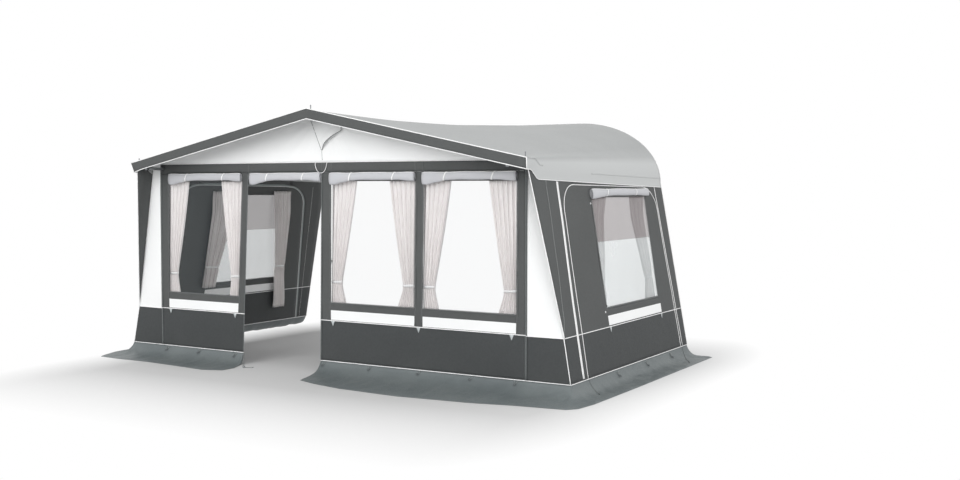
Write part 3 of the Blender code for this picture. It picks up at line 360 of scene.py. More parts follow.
def blank(name: str) -> tuple[bpy.types.Material, Graph, bpy.types.Node]:
    """A new material with its graph and its shader."""
    material = bpy.data.materials.new(name)
    material.use_nodes = True
    graph = Graph(material.node_tree)
    return material, graph, graph.tree.nodes["Principled BSDF"]


@dataclass(frozen=True)
class Look:
    """A finish: its name, its slot in the record and its colour."""

    name: str
    slot: str
    code: str

    def shade(self, factor: float = 1.0, plus: float = 0.0) -> Triple:
        """The colour, or a darker or paler one, at most white."""
        return tuple(min(value * factor + plus, 1.0) for value in srgb(self.code))

    def paint(self, graph: Graph) -> dict[str, object]:
        """The inputs of the shader."""
        return {"Base Color": self.shade()}

    def make(self) -> None:
        """Builds the material."""
        material, graph, shader = blank(self.name)
        graph.feed(shader, self.paint(graph))
        SKINS[self.name], SLOTS[self.name] = material, self.slot


@dataclass(frozen=True)
class Woven(Look):
    """Coated cloth: a fine plain weave, drifting colour and soft creases; where a steep colour is given, the steep
    side flaps are painted paler as a painted highlight.
    """

    roughness: float = 0.78
    thread: float = 0.0016
    weave: float = 0.25
    drift: float = 0.10
    crease: float = 0.25
    crease_size: float = 0.16
    soil: float = 0.0
    earth: str = "8c8a82"
    # steep: the paler colour painted on the roof's side flaps, a painted highlight for the light that they catch
    steep: str = ""

    def paint(self, graph: Graph) -> dict[str, object]:
        """The inputs of the shader."""
        broad, fine = graph.noise(2.2, 4.0, 0.55), graph.noise(60.0, 2.0, 0.6)
        clouds = graph.spread(broad, 0.0, 1.0)
        colour = graph.blend(clouds, self.shade(1 - self.drift), self.shade(1 + self.drift))
        colour = graph.blend(graph.span(fine, 0.55, 0.8, 0.0, 0.5), colour, self.shade(1 - self.drift * 0.8))
        # painted highlight: beyond 1.1 m across from the ridge line, the steep side flaps blend towards the paler
        # steep colour
        if self.steep:
            past = graph.span(graph.math("ABSOLUTE", graph.cloth_axes()[0]), 1.1, 1.45, 0.0, 0.9)
            colour = graph.blend(past, colour, srgb(self.steep))
        if self.soil:
            low = graph.span(graph.parts(graph.object)[2], 0.0, 0.35, self.soil, 0.0)
            patchy = graph.math("MULTIPLY", low, graph.span(broad, 0.35, 0.65, 0.3, 1.0))
            colour = graph.blend(patchy, colour, srgb(self.earth))
        creases = graph.noise(1 / self.crease_size, 4.0, 0.45, graph.stretched(1.0, 1.0, 0.6))
        normal = graph.bump(creases, self.crease, 0.012)
        normal = graph.bump(graph.weave(self.thread), self.weave, self.thread * 0.25, Normal=normal)
        rough = graph.spread(fine, self.roughness - 0.06, min(self.roughness + 0.06, 1.0))
        return {"Base Color": colour, "Roughness": rough, "Normal": normal}


@dataclass(frozen=True)
class Striped(Look):
    """Curtain cloth: thin stripes in two tones on a pale weave."""

    stripe: str
    pitch: float = 0.036
    width: float = 0.0065
    thread: float = 0.0014

    def paint(self, graph: Graph) -> dict[str, object]:
        """The inputs of the shader."""
        share, stripe = self.width / self.pitch, srgb(self.stripe)
        place = graph.math("FRACT", graph.math("DIVIDE", graph.cloth_axes()[0], self.pitch))
        off = graph.off(place, 0.5)
        beside = graph.off(off, share * 1.5)
        bold = graph.span(off, share * 0.35, share * 0.65, 1.0, 0.0)
        faint = graph.span(beside, share * 0.1, share * 0.3, 0.45, 0.0)
        colour = graph.blend(graph.math("MAXIMUM", bold, faint), self.shade(), stripe)
        colour = graph.blend(graph.spread(graph.noise(9.0), 0.0, 0.12), colour, stripe)
        normal = graph.bump(graph.weave(self.thread), 0.3, 0.0004, Normal=graph.bump(graph.noise(14.0), 0.2, 0.006))
        return {"Base Color": colour, "Roughness": 0.9, "Normal": normal, "Sheen Weight": 0.15}


@dataclass(frozen=True)
class Taped(Look):
    """Sewn tape: a row of stitches along each edge."""

    thread: str
    width: float
    stitch: float = 0.006

    def paint(self, graph: Graph) -> dict[str, object]:
        """The inputs of the shader."""
        along, across = graph.cloth_axes()
        edge = graph.off(graph.math("ABSOLUTE", across), self.width * 0.34)
        row = graph.span(edge, 0.0004, 0.0009, 1.0, 0.0)
        dash = graph.math("LESS_THAN", graph.math("FRACT", graph.math("DIVIDE", along, self.stitch)), 0.62)
        stitches = graph.math("MULTIPLY", row, dash)
        colour = graph.blend(stitches, self.shade(), srgb(self.thread))
        colour = graph.blend(graph.span(graph.noise(12.0), 0.35, 0.7, 0.0, 0.15), colour, srgb(self.thread))
        return {"Base Color": colour, "Roughness": 0.75, "Normal": graph.bump(stitches, 0.6, 0.0006)}


@dataclass(frozen=True)
class Foil(Look):
    """Clear window foil: see-through, glossy, with faint waves and a trace of haze."""

    alpha: float

    def paint(self, graph: Graph) -> dict[str, object]:
        """The inputs of the shader."""
        haze = graph.noise(1.7, 3.0, 0.5, graph.stretched(1.0, 1.0, 0.4))
        return {
            "Base Color": graph.blend(graph.spread(haze, 0.0, 1.0), self.shade(), self.shade(1.3)),
            "Roughness": graph.spread(haze, 0.06, 0.14),
            "Normal": graph.bump(graph.noise(3.0, 1.0, 0.3), 0.12, 0.01),
            "Alpha": self.alpha,
            "Specular IOR Level": 0.6,
        }

    def make(self) -> None:
        """Builds the material, and lets other pieces show through it."""
        super().make()
        SKINS[self.name].surface_render_method = "BLENDED"


@dataclass(frozen=True)
class Metal(Look):
    """Zinc-coated or cast metal with a drawn grain and dull patches."""

    roughness: float = 0.38
    grain: float = 0.3

    def paint(self, graph: Graph) -> dict[str, object]:
        """The inputs of the shader."""
        flakes = graph.add("TexVoronoi", {"Vector": graph.object, "Scale": 140.0}).outputs["Distance"]
        cloudy = graph.noise(9.0, 4.0, 0.6)
        colour = graph.blend(graph.span(cloudy, 0.35, 0.65, 0.0, 1.0), self.shade(0.78), self.shade())
        return {
            "Base Color": graph.blend(graph.span(flakes, 0.0, 0.8, 0.0, 0.25), colour, self.shade(0.78)),
            "Roughness": graph.spread(cloudy, self.roughness - 0.1, self.roughness + 0.15),
            "Normal": graph.bump(flakes, self.grain, 0.0004),
            "Metallic": 1.0,
        }


@dataclass(frozen=True)
class Moulded(Look):
    """Moulded plastic or rubber with a fine grain."""

    roughness: float = 0.5
    grain: float = 0.15

    def paint(self, graph: Graph) -> dict[str, object]:
        """The inputs of the shader."""
        worn = graph.noise(30.0)
        return {
            "Base Color": graph.blend(graph.span(worn, 0.45, 0.75, 0.0, 0.6), self.shade(), self.shade(1.35, 0.01)),
            "Roughness": graph.spread(worn, self.roughness - 0.07, self.roughness + 0.1),
            "Normal": graph.bump(graph.noise(420.0, 2.0, 0.6), self.grain, 0.0003),
        }


@dataclass(frozen=True)
class Welt(Look):
    """Coated piping: smooth and faintly ribbed along its length."""

    roughness: float = 0.45

    def paint(self, graph: Graph) -> dict[str, object]:
        """The inputs of the shader."""
        soft = graph.noise(40.0, 2.0)
        colour = graph.blend(graph.span(soft, 0.35, 0.7, 0.0, 0.8), self.shade(), self.shade(0.88))
        return {"Base Color": colour, "Roughness": self.roughness, "Normal": graph.bump(soft, 0.15, 0.001)}


GREY, WHITE, CLEAR, BLACK = "grey_fabric", "white_fabric", "clear_foil", "knob_plastic"
LOOKS = (
    # roof cloth: its side flaps are painted paler with the steep colour, a painted highlight
    Woven("roof cloth", "roof_fabric", "9fa1a1", 0.62, drift=0.03, crease=0.15, steep="bfc1c1"),
    Woven("apron cloth", "apron_fabric", "626a6c", 0.5, drift=0.09, crease=0.8, soil=0.12),
    Woven("wall cloth", GREY, "4e5050", 0.8, drift=0.05),
    Woven("band cloth", GREY, "3a3d3e", 0.7, drift=0.05, soil=0.05),
    Woven("white cloth", WHITE, "f0f1f1", 0.7, drift=0.015, crease=0.2),
    Woven("blind cloth", "blind_fabric", "bcbdc1", 0.65, drift=0.03, crease=0.3),
    Striped("curtain cloth", "curtain_cloth", "f8f5f4", "c9bfbf"),
    Foil("window foil", CLEAR, "8f989c", 0.045),
    Foil("milky foil", CLEAR, "c6cccd", 0.38),
    Foil("tinted foil", CLEAR, "8a8384", 0.5),
    Foil("tab foil", CLEAR, "b9bfc0", 0.75),
    Welt("white piping", WHITE, "f4f4f4"),
    Welt("grey cord", WHITE, "6c7071", 0.7),
    Welt("rubber strap", GREY, "8a8e8e", 0.6),
    Welt("dark cord", GREY, "676b6b", 0.7),
    Taped("wall seam", GREY, "4e5050", "7c7f7f", 0.014),
    Taped("arch tape", GREY, "8c9393", "a5abab", 0.024),
    Taped("corner seam", GREY, "686b6b", "b5b8b8", 0.009, 0.017),
    Taped("roof seam", "roof_fabric", "b9bbbb", "aeb0b0", 0.012),
    Taped("white tape", "curtain_cloth", "ececec", "c9c9c9", 0.020),
    Taped("zip tape", GREY, "505454", "7d8181", 0.022),
    Taped("white zip tape", WHITE, "f4f4f4", "d8d8d8", 0.036),
    Moulded("zip teeth", GREY, "6f7374", 0.35),
    Moulded("white zip teeth", WHITE, "e4e5e5", 0.35),
    Moulded("rubber", BLACK, "5a5f61", 0.6),
    Moulded("black plastic", BLACK, "262727", 0.42),
    Metal("zinc tube", "", "b9bcbe"),
    Metal("cast connector", "cast_connector", "8e9193", 0.48, 0.5),
    Metal("eyelet metal", "cast_connector", "c8c9c6", 0.28, 0.1),
)


def create(name: str, operator: Callable, **settings) -> Piece:
    """Adds an object with one of Blender's operators, and names it."""
    bpy.ops.object.select_all(action="DESELECT")
    operator(**settings)
    bpy.context.object.name = name
    return bpy.context.object


def activate(piece: Piece) -> None:
    """Makes a piece the only selected and the active one."""
    bpy.ops.object.select_all(action="DESELECT")
    piece.select_set(True)
    bpy.context.view_layer.objects.active = piece


def weld(piece: Piece) -> None:
    """Merges a mesh's doubled points and turns its faces outwards."""
    activate(piece)
    bpy.ops.object.mode_set(mode="EDIT")
    bpy.ops.mesh.select_all(action="SELECT")
    bpy.ops.mesh.remove_doubles(threshold=0.00001)
    bpy.ops.mesh.normals_make_consistent(inside=False)
    bpy.ops.object.mode_set(mode="OBJECT")


def dress(piece: Piece, *looks: str, body: str = BODY) -> Piece:
    """Gives a piece its finishes, and lets it ride on a body."""
    for look in looks:
        piece.data.materials.append(SKINS[look])
    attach(piece, body)
    LOG.info("%s: %d faces", piece.name, len(piece.data.polygons))
    return piece


def stations(edges: Sequence[float], pitch: float) -> list[float]:
    """Values through the edges in order, with steps between them of at most the pitch."""
    values = [edges[0]]
    for start, end in zip(edges, edges[1:]):
        count = max(1, math.ceil(abs(end - start) / pitch - 1e-6))
        values += [mix(start, end, step / count) for step in range(1, count + 1)]
    return values


def spaced(line: Sequence[Vector], pitch: float) -> list[Vector]:
    """Points along a line at most the pitch apart, with its own corners kept."""
    points = [line[0].copy()]
    for start, end in zip(line, line[1:]):
        count = max(1, math.ceil((end - start).length / pitch))
        points += [start.lerp(end, step / count) for step in range(1, count + 1)]
    return points


def lengths(line: Sequence[Vector]) -> list[float]:
    """Distance along a line at each of its points."""
    values = [0.0]
    for start, end in zip(line, line[1:]):
        values.append(values[-1] + (end - start).length)
    return values


def curved(marks: Sequence[Vector], pitch: float) -> list[Vector]:
    """A smooth line along a few points, as points of its own at the pitch."""
    line = list(marks)
    for _ in range(3):
        inner = [start.lerp(end, share) for start, end in zip(line, line[1:]) for share in (0.25, 0.75)]
        line = [line[0], *inner, line[-1]]
    away = lengths(line)
    steps = [between(away, wanted) for wanted in stations((0.0, away[-1]), pitch)]
    return [line[place].lerp(line[place + 1], share) for place, share in steps]


def sheet(
    name: str, us: Sequence[float], vs: Sequence[float], place: Place, outward: Vector, *looks: str,
    gauge: float = CLOTH, offset: float = 0.0, hole: Optional[Callable[[float, float], bool]] = None,
    zone: Optional[Callable[[float, float], int]] = None, body: str = BODY,
) -> Piece:
    """A sheet of cloth shaped from a grid, whose UV map holds the flat cloth in metres.

    Args:
        name: The piece's name.
        us: Stations across the flat cloth.
        vs: Stations along it.
        place: Where a spot of the flat cloth lies.
        outward: Roughly the side that the sheet's face looks to.
        looks: Its finishes.
        gauge: The cloth's thickness.
        offset: -1 keeps the face in place, 0 centres the gauge on it.
        hole: Whether the cloth is cut away at a spot.
        zone: The number of the finish at a spot.
        body: The body that it rides on.

    Returns:
        The sheet, with "flat" holding the size and area that its surface lays out to.
    """
    columns, rows = len(us) - 1, len(vs) - 1
    piece = create(name, bpy.ops.mesh.primitive_grid_add, x_subdivisions=columns, y_subdivisions=rows, size=1.0)
    mesh = piece.data
    mesh.name = name
    spots = []
    for vertex in mesh.vertices:
        spots.append((us[round((vertex.co.x + 0.5) * columns)], vs[round((vertex.co.y + 0.5) * rows)]))
        vertex.co = place(*spots[-1])
    for loop, corner in zip(mesh.loops, mesh.uv_layers[0].data):
        corner.uv = spots[loop.vertex_index]
    mesh.shade_smooth()
    wide = max(lengths([place(u, v) for u in us])[-1] for v in vs)
    long = max(lengths([place(u, v) for v in vs])[-1] for u in us)
    bm = bmesh.new()
    bm.from_mesh(mesh)
    cut = []
    for face in bm.faces:
        u, v = (sum(spots[vert.index][axis] for vert in face.verts) / len(face.verts) for axis in (0, 1))
        if hole is not None and hole(u, v):
            cut.append(face)
        elif zone is not None:
            face.material_index = zone(u, v)
    bmesh.ops.delete(bm, geom=cut, context="FACES")
    bm.normal_update()
    area = sum(face.calc_area() for face in bm.faces)
    if sum((face.normal * face.calc_area() for face in bm.faces), Vector()).dot(outward) < 0:
        bmesh.ops.reverse_faces(bm, faces=bm.faces)
    bm.to_mesh(mesh)
    bm.free()
    piece["flat"] = (wide, long, area)
    activate(piece)
    modifier = piece.modifiers.new("solidify", "SOLIDIFY")
    modifier.thickness, modifier.offset, modifier.use_even_offset = gauge, offset, False
    bpy.ops.object.modifier_apply(modifier=modifier.name)
    return dress(piece, *looks, body=body)


def tube(name: str, line: Sequence[Vector], radius: float, look: str, rings: int = 2, body: str = BODY) -> Piece:
    """A round welt, cord or wire along a line.

    Args:
        name: The piece's name.
        line: The points that it follows.
        radius: Its radius.
        look: Its finish.
        rings: Bevel steps of a quarter turn.
        body: The body that it rides on.

    Returns:
        The tube as a closed mesh.
    """
    piece = create(name, bpy.ops.curve.primitive_bezier_curve_add)
    curve = piece.data
    curve.splines.clear()
    curve.dimensions, curve.bevel_depth, curve.bevel_resolution, curve.use_fill_caps = "3D", radius, rings, True
    spline = curve.splines.new("POLY")
    spline.points.add(len(line) - 1)
    for point, place in zip(spline.points, line):
        point.co = (*place, 1.0)
    bpy.ops.object.convert(target="MESH")
    weld(piece)
    piece.data.shade_smooth()
    return dress(piece, look, body=body)


def strip(
    name: str, line: Sequence[Vector], half: float, spot: Callable[[int, float], Vector], outward: Vector,
    gauge: float, look: str,
) -> Piece:
    """A narrow strip of tape along a line.

    Args:
        name: The piece's name.
        line: The line that its length is measured on.
        half: Half its width.
        spot: Where it lies beside a point of the line, from the point's number and the way across.
        outward: The side that its face looks to.
        gauge: Its thickness.
        look: Its finish.

    Returns:
        The strip, with its length and width as its UV map.
    """
    along = lengths(line)
    number = {value: place for place, value in enumerate(along)}
    return sheet(name, along, (-half, 0.0, half), lambda u, v: spot(number[u], v), outward, look, gauge=gauge)


def ribbon(name: str, line: Sequence[Vector], normal: Vector, width: float, lift: float, look: str) -> Piece:
    """A tape lying flat along a line.

    Args:
        name: The piece's name.
        line: The middle of the tape.
        normal: The direction that its face looks to.
        width: Its width.
        lift: How far its middle stands off the line.
        look: Its finish.

    Returns:
        The tape.
    """
    sideways = []
    for place in range(len(line)):
        ahead = line[min(place + 1, len(line) - 1)] - line[max(place - 1, 0)]
        sideways.append(ahead.normalized().cross(normal).normalized())
    return strip(
        name, line, width / 2, lambda place, v: line[place] + sideways[place] * v + normal * lift, normal, TAPE, look
    )


def seam(name: str, line: Sequence[Vector], facing: Vector) -> Piece:
    """A line of stitches in the grey cloth."""
    return ribbon(name, line, facing, SEAM, FLUSH, "wall seam")


def zip_teeth(
    name: str, line: Sequence[Vector], normal: Vector, lift: float, look: str = "zip teeth", pitch: float = 0.007,
    size: Triple = (0.62, 0.0046, 0.0018), aside: float = 0.0012,
) -> Piece:
    """The meshed teeth of a zip: small blocks set in turn to the left and right of a line.

    Args:
        name: The piece's name.
        line: The line that the two rows meet on.
        normal: The direction that the teeth look to.
        lift: How far they stand off the line.
        look: Their finish.
        pitch: The space from tooth to tooth.
        size: A tooth's length as a share of the pitch, its width and its height.
        aside: How far it stands to the side.

    Returns:
        All the teeth as one mesh.
    """
    piece = create(name, bpy.ops.mesh.primitive_cube_add, size=1.0)
    mesh = piece.data
    corners = [vertex.co.copy() for vertex in mesh.vertices]
    faces = [list(face.vertices) for face in mesh.polygons]
    points, polygons = [], []
    even = spaced(line, pitch)
    for number, (start, end) in enumerate(zip(even, even[1:])):
        ahead = (end - start).normalized()
        across = ahead.cross(normal).normalized()
        middle = (start + end) / 2 + across * (aside if number % 2 else -aside) + normal * lift
        polygons += [[len(points) + index for index in face] for face in faces]
        for x, y, z in corners:
            points.append(middle + ahead * x * pitch * size[0] + across * y * size[1] + normal * z * size[2])
    mesh.clear_geometry()
    mesh.from_pydata(points, [], polygons)
    mesh.update()
    weld(piece)
    return dress(piece, look)


def ring(name: str, centre: Vector, normal: Vector, radius: float, wire: float, look: str) -> Piece:
    """A round eyelet or rubber ring.

    Args:
        name: The piece's name.
        centre: Its middle.
        normal: The direction of its axis.
        radius: From the axis to the middle of the wire.
        wire: The wire's radius.
        look: Its finish.

    Returns:
        The ring.
    """
    sizes = {"major_radius": radius, "minor_radius": wire, "major_segments": 20, "minor_segments": 8}
    piece = create(name, bpy.ops.mesh.primitive_torus_add, **sizes)
    piece.matrix_world = Matrix.Translation(centre) @ normal.to_track_quat("Z", "Y").to_matrix().to_4x4()
    activate(piece)
    bpy.ops.object.transform_apply(location=True, rotation=True, scale=True)
    piece.data.shade_smooth()
    return dress(piece, look)


def free_cord(
    name: str, line: Sequence[Vector], radius: float, look: str, knotted: bool = True, body: str = BODY
) -> None:
    """A limp cord along a line.

    Args:
        name: The piece's name.
        line: The points that it follows.
        radius: Its radius.
        look: Its finish.
        knotted: Whether its far end is loose and knotted, or sewn in again.
        body: The body that it rides on.
    """
    cord = tube(name, line, radius, look, 3, body)
    if knotted:
        loops = []
        for step in range(25):
            turn = 2 * math.pi * step / 24
            x, y = math.sin(turn) + 2 * math.sin(2 * turn), math.cos(turn) - 2 * math.cos(2 * turn)
            loops.append(line[-1] + Vector((x, y, 2.2 - math.sin(3 * turn))) * radius * 0.8)
        tube(name + "_knot", loops, radius * 0.85, look, 2, body)
    tuple(line[0])
    lengths(line)[-1]
    [tuple(point) for point in line]


def declare(piece: Piece, hold: Hold, rests: str, node: str = "", trim: Sequence[Piece] = ()) -> None:
    """Hides the CAD node, if any, that a sheet of cloth stands for.

    Args:
        piece: The sheet, as sheet() made it.
        hold: How it is held; not used.
        rests: What it hangs or lies on; not used.
        node: The CAD node that it replaces.
        trim: Separate pieces that are sewn to it.
    """
    width, length, area = piece["flat"]
    min(area, width * length)
    list(trim)
    if node:
        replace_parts(piece, node)


def tab(name: str, side: Optional[Side], along: float, top: float, stand: float) -> None:
    """A clear tab that narrows downwards, hanging from under the end of a white strip.

    Args:
        name: The piece's name.
        side: The side wall that it hangs on, or none for the front.
        along: Its middle along that wall.
        top: Its upper end.
        stand: How far it stands off there.
    """
    sheet(
        name, (-0.022, 0.0, 0.022), (0.0, 0.02, 0.035, 0.046),
        lambda u, v: PLAN.on_wall(side, along + u * (1 - v / 0.052), top - v, stand - 0.03 * v), PLAN.facing(side),
        "tab foil",
    )


@dataclass
class Roof:
    """The roof sheet with its side flaps, piping, seams, eyelets and the welt in the rail."""

    half: float = 1.2
    pitch: float = 0.05
    seams: tuple[tuple[str, Pair, Pair], ...] = (
        ("long", (0.012, 0.094), (1.76, 0.083)), ("short", (2.75, 0.12), (3.02, 0.13)),
    )
    pins: tuple[tuple[str, float], ...] = (("left", -2.234), ("middle", 0.0), ("right", 2.234))
    pin_out: float = 3.0
    keder: float = 0.0035

    def wave(self, point: Vector, along: float) -> float:
        """Shallow slack between the poles, none at the edges."""
        out = PLAN.wall_y - point.y
        loose = smooth(out / 0.5) * smooth((PLAN.canopy - out) / 0.3) * smooth((1.15 - abs(along)) * 4)
        folds = ripple(Vector((point.x, point.y * 0.35, 0.0)), 0.34, 0.005, 3.1)
        return loose * (folds + ripple(point, 0.9, 0.007, 8.4))

    def spot(self, u: float, v: float) -> Vector:
        """A spot of the roof: u runs from one flap's edge to the other's, v outwards."""
        point = PLAN.roof(u / self.half, v)
        point.z += self.wave(point, u / self.half)
        return point

    def build(self) -> None:
        """Builds the roof and all that is sewn to it."""
        across = stations([self.half * along for along in range(-2, 3)], self.pitch)
        outs = stations((2 * self.keder + 0.0004, PLAN.front, PLAN.flap_step, PLAN.canopy - 0.0024), self.pitch)
        roof = sheet("roof_sheet", across, outs, self.spot, UP, "roof cloth", offset=-1.0)
        trim = [self.build_eyelet(name, x) for name, x in self.pins]
        outs = stations((0.012, PLAN.front, PLAN.flap_step, PLAN.canopy - 0.001), 0.04)
        for side in Side:
            edge = [PLAN.roof(2 * side.value, out) for out in outs]
            trim.append(tube("flap_piping_" + side.word, edge, WELT * 0.8, "white piping"))
            trim += [self.build_seam(side, *seam) for seam in self.seams]
        declare(roof, Hold.STRETCHED, "ridge_pole_outer", "roof_panel", trim)
        self.build_keder()

    def build_seam(self, side: Side, part: str, start: Pair, end: Pair) -> Piece:
        """A seam a hand's width above a flap's lower edge.

        Args:
            side: The flap's side.
            part: Which of the seams.
            start: Its rear end's distance out and height above the edge.
            end: The same for its front end.

        Returns:
            The seam.
        """
        line = []
        for out in stations((start[0], end[0]), 0.06):
            wanted = PLAN.flap_foot(out) + mix(start[1], end[1], (out - start[0]) / (end[0] - start[0]))
            along = search(1.0, 2.0, lambda value: PLAN.roof_half(value, out)[1] > wanted)
            line.append(PLAN.roof(along * side.value, out))
        return ribbon(f"flap_seam_{part}_{side.word}", line, PLAN.facing(side), 0.012, 0.0004, "roof seam")

    def build_eyelet(self, name: str, x: float) -> Piece:
        """A metal eyelet that one of the frame's pins comes up through."""
        slope = (PLAN.ridge_z - PLAN.canopy_z) / PLAN.canopy_x
        normal = Vector((math.copysign(slope, x) if x else 0.0, 0.0, 1.0)).normalized()
        centre = PLAN.at(x, self.pin_out, PLAN.roof_z(x, self.pin_out) + CLOTH)
        return ring("eyelet_" + name, centre, normal, 0.0095, 0.0022, "eyelet metal")

    def build_keder(self) -> None:
        """The welted edge that slides into the rear rail."""
        line = [PLAN.roof(along, self.keder) for along in stations((-2.0, -1.0, 0.0, 1.0, 2.0), 0.04)]
        foot = PLAN.at(PLAN.side_x(0.0, PLAN.foot), self.keder, PLAN.foot)
        line = [point - UP * 0.001 for point in (Vector((-foot.x, foot.y, foot.z)), *line, foot)]
        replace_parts(tube("rail_welt", line, self.keder, "white piping", 3), "keder_strip")


@dataclass
class Canopy:
    """The canopy's dark verge strip, the white gable, the vent flap and the header band."""

    edge: float = PLAN.zip_x - HALF_GAP
    drop: float = 0.093
    gable_foot: float = PLAN.header_top + HALF_GAP
    seams: tuple[float, ...] = (-0.94, -0.035, 0.079, 1.02, 1.10)
    hinge_left: Pair = (-0.160, 2.370)
    hinge_right: Pair = (0.195, 2.344)
    corner: Pair = (0.212, 2.266)
    tip: Pair = (-0.037, 2.092)
    tip_width: float = 0.012
    base: float = PLAN.front + 0.0023
    size: float = 0.36
    bend: float = 1 / 6
    lift: float = 0.040
    loop: float = 0.068
    loop_drop: float = 0.098

    def build(self) -> None:
        """Builds the canopy's front."""
        self.build_verge()
        self.build_gable()
        self.build_header()
        self.build_vent()

    def verge_spot(self, u: float, v: float) -> Vector:
        """A spot of the verge strip: u along the front, v downwards."""
        hang = v / self.drop
        slant = PLAN.slant * hang * smooth((-u - PLAN.canopy_x) / 0.15 + 1)
        out = PLAN.canopy - 0.0012 - 0.004 * hang + ripple(Vector((u, 0, 0)), 0.3, 0.003 * hang, 5.0)
        return PLAN.at(u + slant, out, PLAN.verge_z(u) + 0.001 - v)

    def build_verge(self) -> None:
        """The dark strip along the canopy's front edge with its white welts."""
        xs = stations((-PLAN.canopy_x, 0.0, PLAN.canopy_x), 0.05)
        piece = sheet("verge_strip", xs, stations((0.0, self.drop), 0.03), self.verge_spot, AHEAD, "wall cloth")
        edges = {"top": [(x, -0.001) for x in xs], "bottom": [(x, self.drop) for x in xs]}
        for side in Side:
            edges[side.word] = [(side.value * PLAN.canopy_x, down) for down in (0.0, self.drop / 2, self.drop)]
        trim = []
        for name, marks in edges.items():
            line = [self.verge_spot(*mark) + AHEAD * CLOTH for mark in marks]
            trim.append(tube("verge_piping_" + name, line, WELT, "white piping"))
        declare(piece, Hold.STRETCHED, "roof_sheet", "valance", trim)

    def gable_spot(self, u: float, v: float) -> Vector:
        """A spot of the gable with soft pulls from the peak: v is its height at the peak."""
        peak, top = (PLAN.roof_z(x, PLAN.front) - UNDER_ROOF for x in (0.0, u))
        share = v / (peak - self.gable_foot)
        z = mix(self.gable_foot, top, share)
        loose = smooth(share * 5) * smooth((1 - share) * 5) * smooth((self.edge - abs(u)) * 6)
        pull = 0.0055 * math.sin(math.atan2(z - peak, u) * 26) * math.exp(-abs(u) * 2.2)
        return PLAN.at(u, PLAN.front + loose * (pull + ripple(Vector((u, 0, z * 1.6)), 0.32, 0.006, 1.3)), z)

    def build_gable(self) -> None:
        """The white gable panel."""
        ups = stations((0.0, PLAN.roof_z(0.0, PLAN.front) - UNDER_ROOF - self.gable_foot), 0.025)
        across = stations((-self.edge, 0.0, self.edge), 0.03)
        piece = sheet("gable_cloth", across, ups, self.gable_spot, AHEAD, "white cloth")
        declare(piece, Hold.STRETCHED, "roof_sheet", "gable_panel")

    def build_header(self) -> None:
        """The dark band over the wall, with its top welt, its seams and the cord's loop."""
        low, high, out = PLAN.header_foot, PLAN.header_top, PLAN.front + SEWN
        piece = sheet(
            "header_cloth", stations((-self.edge, self.edge), 0.04), stations((low, high), 0.03),
            lambda u, v: PLAN.at(u, PLAN.front + ripple(Vector((u, 0, v)), 0.25, 0.0015, 2.0), v), AHEAD,
            "wall cloth",
        )
        line = [PLAN.at(x, out, high - 0.002) for x in stations((-self.edge, self.edge), 0.1)]
        trim = [tube("header_piping", line, WELT, "white piping")]
        for number, x in enumerate(self.seams):
            line = spaced((PLAN.at(x, out, low), PLAN.at(x, out, high - 0.004)), 0.03)
            trim.append(seam(f"header_seam_{number + 1}", line, AHEAD))
        declare(piece, Hold.STRETCHED, "gable_cloth", "header_band", trim)
        line = []
        for step in range(25):
            turn = math.pi * step / 24
            stand = 0.010 if 0 < step < 24 else 0.004
            x, z = self.tip[0] - self.loop * math.cos(turn), high - 0.006 - self.loop_drop * math.sin(turn)
            line.append(PLAN.at(x, PLAN.front + stand, z))
        free_cord("vent_loop", line, 0.003, "white piping", knotted=False)

    def vent_spot(self, u: float, v: float) -> Vector:
        """A spot of the three-cornered flap: u across and v down."""
        across, down = u / self.size, v / self.size
        corner, tip = Vector(self.corner), Vector(self.tip)
        swell = self.lift * math.sin(math.pi * down)
        if down < self.bend:
            right = mix(Vector(self.hinge_right), corner, down / self.bend)
        else:
            after = (down - self.bend) / (1 - self.bend)
            right = mix(corner, tip + Vector((self.tip_width, 0.0)), after)
            right.x -= self.lift * math.sin(math.pi * after)
        place = mix(mix(Vector(self.hinge_left), tip, down), right, across)
        fold = 0.004 * math.sin(across * 9 + down * 4) * math.sin(math.pi * down) * across
        return PLAN.at(place.x, self.base + max(swell * across**2 + fold, 0.0), place.y)

    def build_vent(self) -> None:
        """The vent flap with a dark seam on its left edge, a dark welt on its right edge that is painted shade under
        the lifted edge, and its pull cord.
        """
        downs = stations((0.0, self.size * self.bend, self.size), 0.012)
        across = stations((0.0, self.size), 0.015)
        piece = sheet("vent_cloth", across, downs, self.vent_spot, AHEAD, "white cloth", body="vent")
        trim = []
        # the left welt is the flap's dark seam; the thicker right one is painted shade that stands for the shadow
        # under the flap's lifted open edge
        for name, across, radius in (("left", 0.0, 0.0016), ("right", self.size, 0.0022)):
            line = [self.vent_spot(across, down) + AHEAD * 0.001 for down in downs]
            trim.append(tube("vent_edge_" + name, line, radius, "wall seam", body="vent"))
        declare(piece, Hold.HUNG, "gable_cloth", "vent_flap", trim)
        start = self.vent_spot(0.18, 0.352) + AHEAD * 0.002
        end = PLAN.at(self.tip[0] + self.tip_width, self.base + 0.0015, 1.998)
        free_cord("vent_cord", spaced((start, end), 0.006), 0.0015, "grey cord", body="vent")


@dataclass(frozen=True)
class Upright:
    """A nearly upright edge of the front wall, as x at two heights."""

    foot_x: float
    top_x: float
    foot_z: float = 0.668
    top_z: float = 1.80

    def x(self, z: float) -> float:
        """The edge's x at a height."""
        return mix(self.foot_x, self.top_x, (z - self.foot_z) / (self.top_z - self.foot_z))


